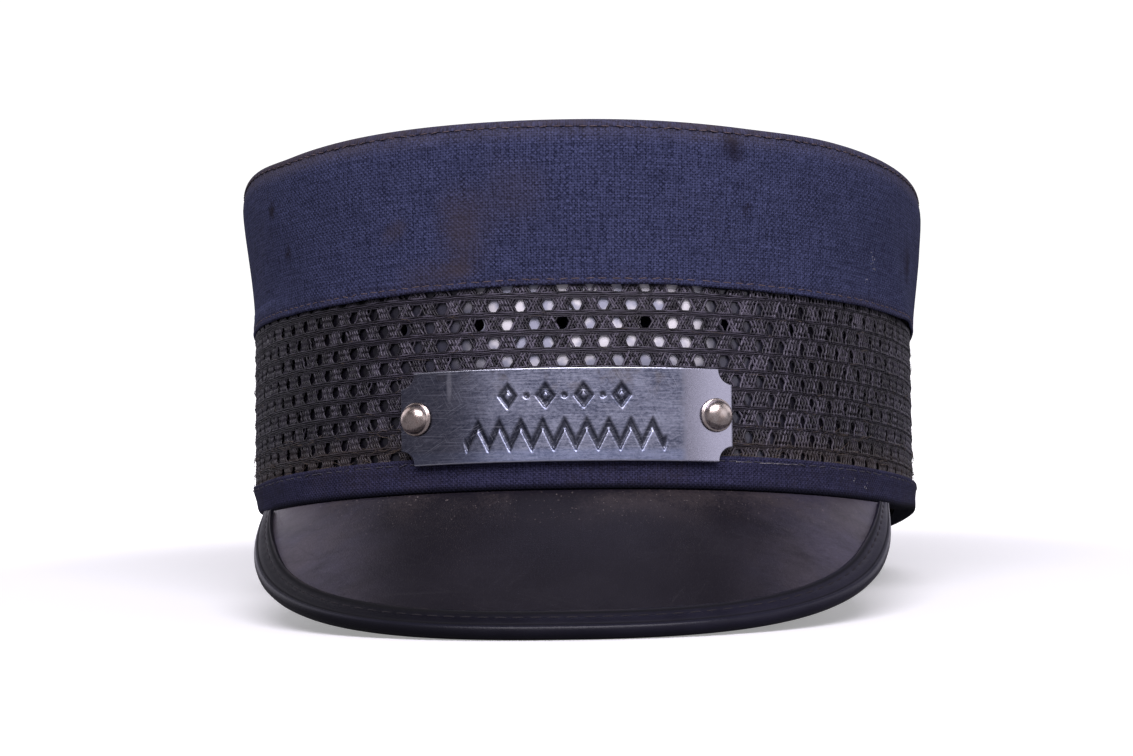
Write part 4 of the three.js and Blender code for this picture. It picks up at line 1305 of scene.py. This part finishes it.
def make_sweatband(leather):
    piece = ring_piece("sweatband_leather", sweatband_section, round_steps=360, sharp=60)
    dress(piece, leather, "sweatband_leather", "sweatband")


# Visor and its binding

VISOR_REACH = 53.7 * MM
VISOR_END_DEPTH = 46 * MM
VISOR_SLOPE_FRONT = math.radians(43.4)
VISOR_SLOPE_END = math.radians(38)
VISOR_CURVE_POWER = 2.4
VISOR_TAPER_POWER = 1.7
VISOR_FAN = 1.58
VISOR_WALL = 1.4 * MM
PANEL_END = 0.94
BINDING_WALL = 1.0 * MM
BINDING_WIDTH = 6.0 * MM
VISOR_END_ANGLE = math.acos((VISOR_END_DEPTH / HALF_DEPTH) ** (OVAL_POWER / 2))


def visor_root(u):
    x, y, _, _ = oval(u * VISOR_END_ANGLE)
    return np.stack([x, y, 0 * x], -1)


def visor_direction(u):
    _, _, out_x, out_y = oval(u * VISOR_END_ANGLE)
    length = np.hypot(out_x * VISOR_FAN, out_y)
    slope = VISOR_SLOPE_FRONT + (VISOR_SLOPE_END - VISOR_SLOPE_FRONT) * u * u
    flat = np.cos(slope) / length
    return np.stack([out_x * VISOR_FAN * flat, out_y * flat, -np.sin(slope)], -1)


def visor_length(u):
    return VISOR_REACH * np.maximum(0, 1 - np.abs(u) ** VISOR_CURVE_POWER) ** VISOR_TAPER_POWER


def visor_edge(u):
    return visor_root(u) + visor_direction(u) * visor_length(u)[:, None]


def unit_rows(vectors):
    return vectors / np.linalg.norm(vectors, axis=-1, keepdims=True)


def edge_frame(u):
    """Directions at the visor's edge: along it, up out of the sheet and inwards across it."""
    step = 1e-3
    along = unit_rows(visor_edge(u + step) - visor_edge(u - step))
    up = unit_rows(np.cross(visor_direction(u), along))
    up = up * np.sign(up[:, 2:])
    inwards = unit_rows(np.cross(up, along))
    inwards = inwards * -np.sign((inwards * visor_direction(u)).sum(-1, keepdims=True))
    return along, up, inwards


def make_visor(leather):
    """The panel: a slightly uneven sheet from the rim's plane to inside the binding's fold."""
    columns, across = 220, 40
    u = PANEL_END * np.linspace(-1, 1, columns)
    along, _, inwards = edge_frame(u)
    direction = visor_direction(u)
    up = unit_rows(np.cross(along, direction))
    up = up * np.sign(up[:, 2:])
    drop = -direction[:, 2]
    towards = np.maximum(0.4, -(inwards * direction).sum(-1))
    end = visor_length(u) - (BINDING_WALL + GAP) / towards
    rows, lengths_down = [], []
    for side in (1, -1):
        start = (GAP + side * up[:, 2] * VISOR_WALL / 2) / drop
        far = np.maximum(end, start + 0.05 * MM)
        shares = np.linspace(0, 1, across)
        for share in shares if side == 1 else shares[::-1]:
            out = start + (far - start) * share
            middle = visor_root(u) + direction * out[:, None]
            hollow = np.sin(math.pi * share) * np.cos(u * math.pi / 2)
            soft = unevenness(u * 2.2, out, 55, [(1, 0.09), (2, 0.05), (3, 0.04)])
            rise = side * VISOR_WALL / 2 + 0.55 * MM * soft * hollow
            rows.append(middle + up * rise[:, None])
            lengths_down.append(out)
    points = np.stack(rows)
    root_arc = run_lengths(visor_root(u))
    root_arc = root_arc - root_arc[-1] / 2
    faces = tube_faces(2 * across, columns, rows_close=True)
    flat = np.stack([np.broadcast_to(root_arc, (2 * across, columns)), np.stack(lengths_down)], -1)
    corner_uv = corner_lengths(flat, faces)
    piece = new_object("visor_panel", world(points.reshape(-1, 3)), faces, corner_uv, sharp=50)
    dress(piece, leather, "visor_leather", "visor")


BINDING_TOP = [
    # distance in from the edge as a share of the binding's width, and rise above its plain face in mm
    (1.0, -0.62), (0.995, -0.25), (0.975, 0.0), (0.95, 0.08), (0.92, 0.03), (0.885, -0.10),
    (0.84, -0.15), (0.78, -0.12), (0.72, -0.11), (0.69, -0.15), (0.66, -0.18), (0.63, -0.14),
    (0.57, -0.06), (0.48, 0.00), (0.40, -0.01), (0.345, -0.06), (0.30, -0.13), (0.265, -0.10),
    (0.22, -0.05), (0.17, -0.12), (0.12, -0.34), (0.07, -0.70), (0.03, -1.14),
]
RIDGE_SHARE = 0.955
GROOVE_SHARE = 0.86
SEAM_SHARE = 0.66
CREASE_SHARE = 0.30
ROLL_SHARE = 0.19
BINDING_FRONT_SHARE = 1.18  # its width at the front, as a share of the plain width
BINDING_END_SHARE = 0.42  # and at the visor's ends
BINDING_PITCH = 4.2 * MM  # from one stitch of its seam to the next


def binding_width(u):
    """The binding narrows towards the visor's ends."""
    taper = smooth(np.abs(u), 0.6, 1.0)
    return BINDING_WIDTH * (BINDING_FRONT_SHARE + (BINDING_END_SHARE - BINDING_FRONT_SHARE) * taper)


def binding_outline():
    """The binding's closed section: a share of its width and a length, both in from the visor's edge,
    and a rise."""
    slot = VISOR_WALL / 2 + GAP
    face = slot + BINDING_WALL
    upper = [(share, 0.0, face + rise * MM) for share, rise in BINDING_TOP]
    nose = [(0.0, 0.0, 0.0)]
    lower = [(share, 0.0, -rise) for share, _, rise in upper[::-1]]
    inside = [(1.0, 0.0, -slot), (0.0, BINDING_WALL, -slot), (0.0, BINDING_WALL, slot), (1.0, 0.0, slot)]
    return np.array(upper + nose + lower + inside)


def make_binding(leather):
    columns = 300
    u = np.sin(np.linspace(-1, 1, columns) * math.pi / 2)
    u = 0.5 * u + 0.5 * np.linspace(-1, 1, columns)
    _, up, inwards = edge_frame(u)
    outline = binding_outline()
    edge = visor_edge(u)
    arc = run_lengths(edge)
    arc = arc - arc[-1] / 2
    ripple = 0.05 * MM * np.cos(TURN * arc / BINDING_PITCH)
    rows, insets = [], []
    for share, length, rise in outline:
        inset = share * binding_width(u) + length
        near_seam = math.exp(-(((share - SEAM_SHARE) / 0.08) ** 2)) * (rise > 0)
        rows.append(edge + inwards * inset[:, None] + up * (rise + ripple * near_seam)[:, None])
        insets.append(inset)
    points = np.stack(rows)
    count = len(outline)
    faces = tube_faces(count, columns, rows_close=True)
    flat = np.stack([np.broadcast_to(arc, (count, columns)), np.stack(insets)], -1)
    corner_uv = corner_lengths(flat, faces)
    share, _, rise = outline.T

    def near(middle, wide):
        here = np.exp(-(((share - middle) / wide) ** 2)) * (rise > 0)
        return np.broadcast_to(here[:, None], (count, columns))

    groove = np.minimum(1, near(GROOVE_SHARE, 0.07) + near(CREASE_SHARE, 0.03))
    marks = {"ridge": near(RIDGE_SHARE, 0.03), "groove": groove, "roll_highlight": near(ROLL_SHARE, 0.06)}
    piece = new_object("visor_binding_leather", world(points.reshape(-1, 3)), faces, corner_uv, marks)
    trim_above_rim(piece)
    dress(piece, leather, "binding_leather", "visor_binding")


def trim_above_rim(piece):
    """Cuts off what stands above the rim's plane, less the gap, and closes the cut."""
    plane_point = world(np.array([0.0, 0.0, -GAP]))
    bm = bmesh.new()
    bm.from_mesh(piece.data)
    bmesh.ops.bisect_plane(bm, geom=[*bm.verts, *bm.edges, *bm.faces], dist=1e-7,
                           plane_co=plane_point, plane_no=CAP_UP, clear_outer=True)
    open_edges = [e for e in bm.edges if e.is_boundary]
    bmesh.ops.holes_fill(bm, edges=open_edges, sides=0)
    bm.to_mesh(piece.data)
    bm.free()
    piece.data.set_sharp_from_angle(angle=math.radians(50))


# Badge and rivets

BADGE_WIDTH = 81.5 * MM
BADGE_HEIGHT = 22.4 * MM
BADGE_MIDDLE = 17.6 * MM
NOTCH_RADIUS = 3.7 * MM
RIVET_INSET = 3.95 * MM
PRESS_DEPTH = 0.42 * MM
STROKE = 0.6 * MM  # half the width of a stamped line
STROKE_SOFT = 0.22 * MM
LOZENGE_COUNT = 4
LOZENGE_PITCH = 9.0 * MM
LOZENGE_HALF = (2.3 * MM, 3.1 * MM)
LOZENGE_ROW = 4.6 * MM
CHEVRON_COUNT = 9
CHEVRON_PITCH = 5.2 * MM
CHEVRON_HEIGHT = 6.4 * MM
CHEVRON_ROW = -4.6 * MM


def pressed_depth(along, up):
    """How deep the plate is pressed there, from 0 to 1: lozenges and dots over a line of chevrons."""
    nearest = np.full(along.shape, 1.0)
    half_wide, half_tall = LOZENGE_HALF
    scale = half_wide * half_tall / math.hypot(half_wide, half_tall)
    for k in range(LOZENGE_COUNT):
        centre = (k - (LOZENGE_COUNT - 1) / 2) * LOZENGE_PITCH
        reach = np.abs(along - centre) / half_wide + np.abs(up - LOZENGE_ROW) / half_tall
        nearest = np.minimum(nearest, np.abs((reach - 1) * scale + STROKE))
        if k < LOZENGE_COUNT - 1:
            dot = np.hypot(along - centre - LOZENGE_PITCH / 2, up - LOZENGE_ROW)
            nearest = np.minimum(nearest, dot)
    span = CHEVRON_COUNT * CHEVRON_PITCH
    share = (along + span / 2) / CHEVRON_PITCH
    swing = (CHEVRON_HEIGHT - 2 * STROKE) / 2
    line = CHEVRON_ROW + swing * (1 - 4 * np.abs(share % 1 - 0.5))
    tilt = math.cos(math.atan2(4 * swing, CHEVRON_PITCH))
    chevron = np.abs(up - line) * tilt
    overrun = np.maximum(np.abs(along) - span / 2, 0)
    nearest = np.minimum(nearest, np.hypot(chevron, overrun))
    return smooth(nearest, STROKE + STROKE_SOFT, STROKE - STROKE_SOFT)


def badge_stations():
    """Places along the plate and its half-height at each, close together at the notches."""
    half = BADGE_WIDTH / 2
    turn = np.linspace(0, math.pi / 2, 22)
    end_along = half - NOTCH_RADIUS * np.sin(turn)
    end_tall = BADGE_HEIGHT / 2 - NOTCH_RADIUS * np.cos(turn)
    plain = np.linspace(half - NOTCH_RADIUS, -(half - NOTCH_RADIUS), 300)[1:-1]
    along = np.concatenate([end_along, plain, -end_along[::-1]])
    tall = np.concatenate([end_tall, np.full(len(plain), BADGE_HEIGHT / 2), end_tall[::-1]])
    return along, tall


def make_badge(metal):
    along, tall = badge_stations()
    shares = np.concatenate([[-1, -0.994, -0.982], np.linspace(-0.96, 0.96, 84), [0.982, 0.994, 1]])
    up = tall[:, None] * shares
    place = np.broadcast_to(along[:, None], up.shape)
    from_edge = np.minimum(tall[:, None] * (1 - np.abs(shares)), BADGE_WIDTH / 2 - np.abs(place))
    rounding = 0.22 * MM
    inside = np.clip(rounding - from_edge, 0, rounding)
    drop = rounding - np.sqrt(rounding ** 2 - inside ** 2)
    pressed = pressed_depth(place, up)
    dent = unevenness(along[:, None] * 40, up, 17, [(1, 0.02), (2, 0.014), (3, 0.03)])
    front = BADGE_INNER + BADGE_WALL - drop - PRESS_DEPTH * pressed + 0.05 * MM * dent
    lengths = arc_lengths(BADGE_INNER)
    face = on_band(place, BADGE_MIDDLE + up, front, lengths)
    back_up = np.stack([tall, -tall], 1)
    back_place = np.broadcast_to(along[:, None], back_up.shape)
    back = on_band(back_place, BADGE_MIDDLE + back_up, BADGE_INNER, lengths)
    points = np.concatenate([face, back], 1)
    stations, around = points.shape[:2]
    faces = tube_faces(stations, around)
    flat = np.concatenate([np.stack([place, up], -1), np.stack([back_place, back_up], -1)], 1)
    corner_uv = corner_lengths(flat, faces)
    marks = {"pressed": np.concatenate([pressed, np.zeros((stations, 2))], 1)}
    piece = new_object("badge_plate", points.reshape(-1, 3), faces, corner_uv, marks, sharp=60)
    dress(piece, metal, "badge_metal", "badge")


RIVET_PROFILE = [
    # radius and height above the plate's face, in mm
    (3.95, 0.3), (4.05, 0.42), (4.0, 0.6), (3.82, 0.72), (3.62, 0.76), (3.56, 0.88), (3.52, 1.08),
    (3.40, 1.38), (3.20, 1.70), (2.92, 2.02), (2.55, 2.30), (2.10, 2.53), (1.58, 2.71), (1.05, 2.83),
    (0.5, 2.89), (0.12, 2.9),
]


def make_rivet(name, side, finish, lean):
    """A domed rivet with a thin flange, its tail clinched inside the liner."""
    place = side * (BADGE_WIDTH / 2 - RIVET_INSET)
    face = BADGE_INNER + BADGE_WALL
    lengths = arc_lengths(face)
    centre = on_band(np.array([place]), BADGE_MIDDLE, face, lengths)[0]
    out, right = band_directions(place, lengths)
    inside = (LINER_OUTER - LINER_WALL - face) / MM
    tail = [(0.1, inside - 1.0), (2.6, inside - 1.0), (2.6, inside - 0.3), (1.4, inside - 0.3)]
    profile = [*tail, (1.4, 0.3), *RIVET_PROFILE]
    sides = 64
    turn = np.arange(sides) / sides * TURN
    rows = []
    for radius, height in profile:
        off_centre = lean * MM * smooth(height, 0.6, 1.0)
        circle = radius * MM * (np.cos(turn)[:, None] * right + np.sin(turn)[:, None] * CAP_UP)
        rows.append(centre + circle + out * height * MM + right * off_centre)
    faces = tube_faces(len(profile), sides)
    piece = new_object(name + "_dome", np.concatenate(rows), faces, sharp=45)
    dress(piece, finish, "rivet_metal", name)


# Stitches, threads and lint

STITCH_SINK = 0.6  # how deep a stitch lies at its needle holes, in thread radii
STITCH_SLANT = 0.06  # how much the stitches lean, as a share of their length


def make_stitches(name, centres, along, out, length, radius, finish, slot):
    """Short rounded threads, each bent into its two needle holes. centres, along and out are in the
    world and have a row for each stitch."""
    stations = np.array([-0.5, -0.42, -0.2, 0.0, 0.2, 0.42, 0.5])
    width = np.array([0.35, 0.85, 1.0, 1.0, 1.0, 0.85, 0.35])
    depth = -STITCH_SINK * np.array([2.2, 1.0, 0.15, 0.0, 0.15, 1.0, 2.2])
    sides = np.arange(6) / 6 * TURN
    across = np.cross(along, out)
    path = (centres[:, None] + along[:, None] * stations[:, None] * length
            + out[:, None] * (depth * radius)[:, None])
    circle = across[:, None, None] * np.cos(sides)[:, None] + out[:, None, None] * np.sin(sides)[:, None]
    points = path[:, :, None] + circle * (width * radius)[:, None, None]
    faces = strand_faces(points)
    flat = np.zeros((*points.shape[:3], 2))
    flat[..., 0] = (stations[:, None] * length) + np.arange(len(centres))[:, None, None] * length
    flat[..., 1] = sides * radius
    piece = new_object(name, points.reshape(-1, 3), faces, corner_lengths(flat, faces))
    return dress(piece, finish, slot)


def seam_round_cap(name, pitch, length, radius, height_of, offset_of, finish, slot, seed):
    """Stitches all round the cap. height_of and offset_of take the angle and the length round."""
    chance = np.random.default_rng(seed)
    count = round(GIRTH / pitch)
    arc = np.arange(count) / count * GIRTH - GIRTH / 2 + chance.normal(0, 0.08 * pitch, count)
    slant = chance.normal(0, STITCH_SLANT * length, count)

    def at(shift, tilt):
        here = arc + shift
        angle = angle_at(here)
        return on_band(here, height_of(angle, here) + tilt, offset_of(angle, here))

    before, after = at(-length / 2, -slant), at(length / 2, slant)
    centres = (before + after) / 2
    along = unit_rows(after - before)
    _, _, out_x, out_y = oval(angle_at(arc))
    out = np.stack([out_x, out_y, 0 * out_x], -1) @ CAP_AXES
    out = unit_rows(out - along * (out * along).sum(-1, keepdims=True))
    return make_stitches(name, centres, along, out, length, radius, finish, slot)


def make_seams(brown, navy):
    """The four seams that run all round the cap."""
    def hem_height(angle, arc):
        return HEM + HEM_SEAM + 0.78 * hem_wave(angle, arc)

    def hem_offset(angle, arc):
        return crown_surface_offset(angle, HEM + HEM_SEAM) + hem_lift(arc) * 0.75 - 0.12 * MM

    seam_round_cap("hem_stitches", 3.1 * MM, 2.2 * MM, 0.15 * MM, hem_height, hem_offset, brown,
                   "navy_cloth", 1)

    def top_seam_height(angle, arc):
        return crown_top_edge(angle) + 0.02 * MM

    def top_seam_offset(angle, arc):
        return HEM_OUTER + CROWN_FLARE - TOP_INSET - 0.03 * MM + 0 * angle

    seam_round_cap("top_seam_stitches", 2.9 * MM, 2.1 * MM, 0.16 * MM, top_seam_height,
                   top_seam_offset, brown, "navy_cloth", 2)
    seam_round_cap("rim_stitches", 3.4 * MM, 2.5 * MM, 0.16 * MM,
                   lambda angle, arc: 6.95 * MM + 0 * angle,
                   lambda angle, arc: BAND_OUTER - 0.02 * MM - 0.45 * RIM_TUCK * left_side(angle),
                   navy, "navy_cloth", 3)
    seam_round_cap("sweatband_stitches", 4.0 * MM, 2.8 * MM, 0.2 * MM,
                   lambda angle, arc: FLOOR_TOP + 2.5 * MM + 0 * angle,
                   lambda angle, arc: SWEATBAND_OUTER - SWEATBAND_WALL - 0.3 * MM + 0 * angle,
                   brown, "sweatband_leather", 4)


def make_binding_seam(thread):
    """The stitches that hold the binding, on the visor's upper side."""
    fine = np.linspace(-0.97, 0.97, 3000)
    edge = visor_edge(fine)
    arc = run_lengths(edge)
    count = int(arc[-1] / BINDING_PITCH)
    u = np.interp((np.arange(count) + 0.5) * BINDING_PITCH, arc, fine)
    along, up, inwards = edge_frame(u)
    face = VISOR_WALL / 2 + GAP + BINDING_WALL
    inset = SEAM_SHARE * binding_width(u)
    centres = visor_edge(u) + inwards * inset[:, None] + up * (face - 0.20 * MM)
    below = centres[:, 2] < -1.2 * MM
    make_stitches("binding_stitches", world(centres)[below], (along @ CAP_AXES)[below],
                  (up @ CAP_AXES)[below], 3.2 * MM, 0.2 * MM, thread, "binding_leather")


PALE_THREADS = [
    # where each starts on the rim band, how high it lies and how long it is, in mm
    {"from": 41.5, "up": 6.80, "long": 4.7},
    {"from": 48.2, "up": 6.75, "long": 13.5},
]


def make_pale_threads(finish):
    """Two loose ends of pale thread that lie along the rim band."""
    offset = BAND_OUTER + 0.02 * MM
    roots = np.array([(thread["from"] * MM, thread["up"] * MM, offset) for thread in PALE_THREADS])
    directions = np.array([(1.0, 0.01, 0.0)] * len(PALE_THREADS))
    lengths = np.array([thread["long"] * MM for thread in PALE_THREADS])
    piece = make_fibres("pale_threads", roots, directions, lengths, 0.08 * MM, 0.012, 23)
    dress(piece, finish, "navy_cloth")


LINT_PLACES = [
    # length round the cap and height, in mm, where pale fluff clings to the cloth
    (90.7, 61.8), (92.2, 58.0), (88.4, 55.5), (91.5, 60.0), (76.4, 5.5), (81.3, 4.5), (87.2, 3.8),
]


def make_lint(finish):
    """Curled bits of fluff on the cloth and a few specks round them."""
    chance = np.random.default_rng(15)
    roots, lengths = [], []
    for along, up in LINT_PLACES:
        count = int(chance.integers(2, 5))
        spread = chance.normal(0, 0.5, (count, 2))
        for dx, dy in spread:
            height = (up + dy) * MM
            angle = angle_at(np.array([(along + dx) * MM]))
            on_cloth = crown_surface_offset(angle, height)[0] if height > HEM else BAND_OUTER - 0.25 * MM
            roots.append(((along + dx) * MM, height, on_cloth + 0.05 * MM))
            lengths.append(chance.uniform(0.15, 0.38) * MM)
    roots, lengths = np.array(roots), np.array(lengths)
    turn = chance.uniform(0, TURN, len(roots))
    directions = np.stack([np.cos(turn), np.sin(turn), 0.05 + 0 * turn], -1)
    piece = make_fibres("lint", roots, directions, lengths, 0.075 * MM, 0.9, 16)
    dress(piece, finish, "navy_cloth")


# Floor, lights and camera

FOCAL_PIXELS = 3849.8
PHOTO_WIDTH = 1133
SENSOR = 36.0
CAMERA_DISTANCE = 1.0172
CAMERA_AZIMUTH = math.radians(2.83)  # round to the cap's +X side
CAMERA_RISE = math.radians(-6.846)  # below the rim's plane
CAMERA_ROLL = math.radians(-0.547)
AIM_HEIGHT = 45.0 * MM
AIM_SIDE = -4.627 * MM
AIM_LIFT = -6.213 * MM


def make_camera():
    right = np.array([math.cos(CAMERA_AZIMUTH), math.sin(CAMERA_AZIMUTH), 0.0])
    back = np.array([math.sin(CAMERA_AZIMUTH) * math.cos(CAMERA_RISE),
                     -math.cos(CAMERA_AZIMUTH) * math.cos(CAMERA_RISE), math.sin(CAMERA_RISE)])
    up = np.cross(back, right)
    aim = np.array([0.0, 0.0, AIM_HEIGHT]) + right * AIM_SIDE + up * AIM_LIFT
    place = world(aim + back * CAMERA_DISTANCE)
    rolled_right = right * math.cos(CAMERA_ROLL) + up * math.sin(CAMERA_ROLL)
    rolled_up = up * math.cos(CAMERA_ROLL) - right * math.sin(CAMERA_ROLL)
    turned = np.stack([rolled_right, rolled_up, back]) @ CAP_AXES
    matrix = Matrix.Identity(4)
    for column in range(3):
        for row in range(3):
            matrix[row][column] = turned[column][row]
        matrix[column][3] = place[column]
    data = bpy.data.cameras.new("camera")
    data.sensor_width = SENSOR
    data.lens = FOCAL_PIXELS / PHOTO_WIDTH * SENSOR
    data.clip_start = 0.05
    made = add_object("camera", data)
    made.matrix_world = matrix
    bpy.context.scene.camera = made


SOFTBOXES = [
    # azimuth and rise of each from the cap's middle in degrees, distance, width and height in metres
    {"name": "key_box", "azimuth": 4, "rise": 46, "far": 1.4, "wide": 1.3, "tall": 0.7, "watts": 19},
    {"name": "left_box", "azimuth": -105, "rise": 32, "far": 1.3, "wide": 0.8, "tall": 0.8, "watts": 2},
    {"name": "right_box", "azimuth": 98, "rise": 30, "far": 1.3, "wide": 0.8, "tall": 0.8, "watts": 1.6},
    {"name": "right_panel", "azimuth": 58, "rise": 16, "far": 1.4, "wide": 0.8, "tall": 0.8, "watts": 1.4},
    {"name": "back_box", "azimuth": 180, "rise": 40, "far": 1.8, "wide": 1.6, "tall": 0.6, "watts": 3},
]
LIGHT_TINT = (1.0, 0.955, 1.06)


def make_lights():
    middle = Vector((0.0, 0.0, 0.06))
    for box in SOFTBOXES:
        data = bpy.data.lights.new(box["name"], "AREA")
        data.shape = "RECTANGLE"
        data.size, data.size_y = box["wide"], box["tall"]
        data.energy = box["watts"]
        data.color = LIGHT_TINT
        azimuth, rise = math.radians(box["azimuth"]), math.radians(box["rise"])
        away = Vector((math.sin(azimuth) * math.cos(rise), -math.cos(azimuth) * math.cos(rise),
                       math.sin(rise)))
        made = add_object(box["name"], data)
        made.location = middle + away * box["far"]
        made.rotation_euler = away.to_track_quat("Z", "Y").to_euler()


ROOM_DIM = 0.08  # strength of the light from the dark parts of the room
ROOM_FRONT = 0.26  # from the low part behind the camera
BACKDROP = 1.1  # and from the low part behind the cap
SHADOW_REACH = 0.34  # metres from the cap's middle, past which the floor is as white as the backdrop


def make_surroundings():
    """A plain white room: white where the camera sees it, and dimmer where it lights the cap."""
    room = bpy.data.worlds.new("plain_room")
    bpy.context.scene.world = room
    room.use_nodes = True
    shade = Shade(room.node_tree)
    background = room.node_tree.nodes["Background"]
    seen = shade.node("ShaderNodeLightPath").outputs["Is Camera Ray"]
    shade.feed(background.inputs["Color"], shade.mix(seen, colour(0.97, 0.93, 1.08), colour(1, 1, 1)))
    _, behind, rise = shade.split(shade.node("ShaderNodeTexCoord").outputs["Generated"])
    low = shade.mask(rise, 0.55, 0.25)
    backdrop = shade.times(shade.mask(behind, 0.1, 0.6), low)
    front = shade.times(shade.mask(behind, 0.1, -0.5), low)
    lit = shade.math("MULTIPLY_ADD", backdrop, BACKDROP - ROOM_DIM, ROOM_DIM)
    lit = shade.math("MULTIPLY_ADD", front, ROOM_FRONT - ROOM_DIM, lit)
    shade.feed(background.inputs["Strength"], shade.math("MAXIMUM", lit, seen))
    make_floor()
    bpy.context.scene.view_settings.view_transform = "Standard"


def make_floor():
    """Pale paper. The camera sees it as white as the backdrop but for the cap's own soft shadow, and
    it throws less light back up than it would, as a dark table round the paper would make it."""
    half = 4.0
    corners = [(-half, -half, 0), (half, -half, 0), (half, half, 0), (-half, half, 0)]
    mesh = bpy.data.meshes.new("floor")
    mesh.from_pydata(corners, [], [(0, 1, 2, 3)])
    floor = add_object("floor", mesh)
    material, shade, shader = new_finish("pale_floor", 0.8, 0.2)
    place = shade.place()
    tone = shade.noise(place, 6.0, 2.0)
    seen = shade.node("ShaderNodeLightPath").outputs["Is Camera Ray"]
    paper = shade.mix(tone, colour(0.86, 0.86, 0.86), colour(0.90, 0.90, 0.90))
    shade.feed(shader.inputs["Base Color"], shade.mix(seen, colour(0.22, 0.22, 0.23), paper))
    shader.inputs["Emission Color"].default_value = (1.0, 1.0, 1.0, 1.0)
    far = shade.mask(shade.vector("LENGTH", place), 0.5 * SHADOW_REACH, SHADOW_REACH)
    shade.feed(shader.inputs["Emission Strength"], shade.times(seen, shade.span(far, 0.30, 1.0)))
    mesh.materials.append(material)


def build():
    make_camera()
    make_surroundings()
    make_lights()
    cloth = crown_cloth()
    make_crown_side(cloth)
    make_crown_top(cloth)
    straw = straw_finish()
    plait_rows("plait_lower_rows", [0, 1, 2, 3], straw)
    plait_rows("plait_middle_rows", [4, 5, 6], straw)
    plait_rows("plait_upper_rows", [7, 8, 9], straw)
    make_plait_rails(straw)
    make_straw_fibres(fibre_finish())
    make_liner(liner_finish())
    make_rim_band(band_cloth())
    make_sweatband(sweatband_finish())
    make_visor(visor_finish())
    make_binding(binding_finish())
    make_badge(badge_finish())
    make_rivet("rivet_left", -1, rivet_finish("left_rivet_metal", 0.8), -0.25)
    make_rivet("rivet_right", 1, rivet_finish("right_rivet_metal", 0.25), 0.2)
    make_seams(thread_finish("brown_thread"), thread_finish("navy_thread"))
    make_binding_seam(thread_finish("black_thread"))
    make_pale_threads(thread_finish("pale_thread"))
    make_lint(lint_finish())


build()
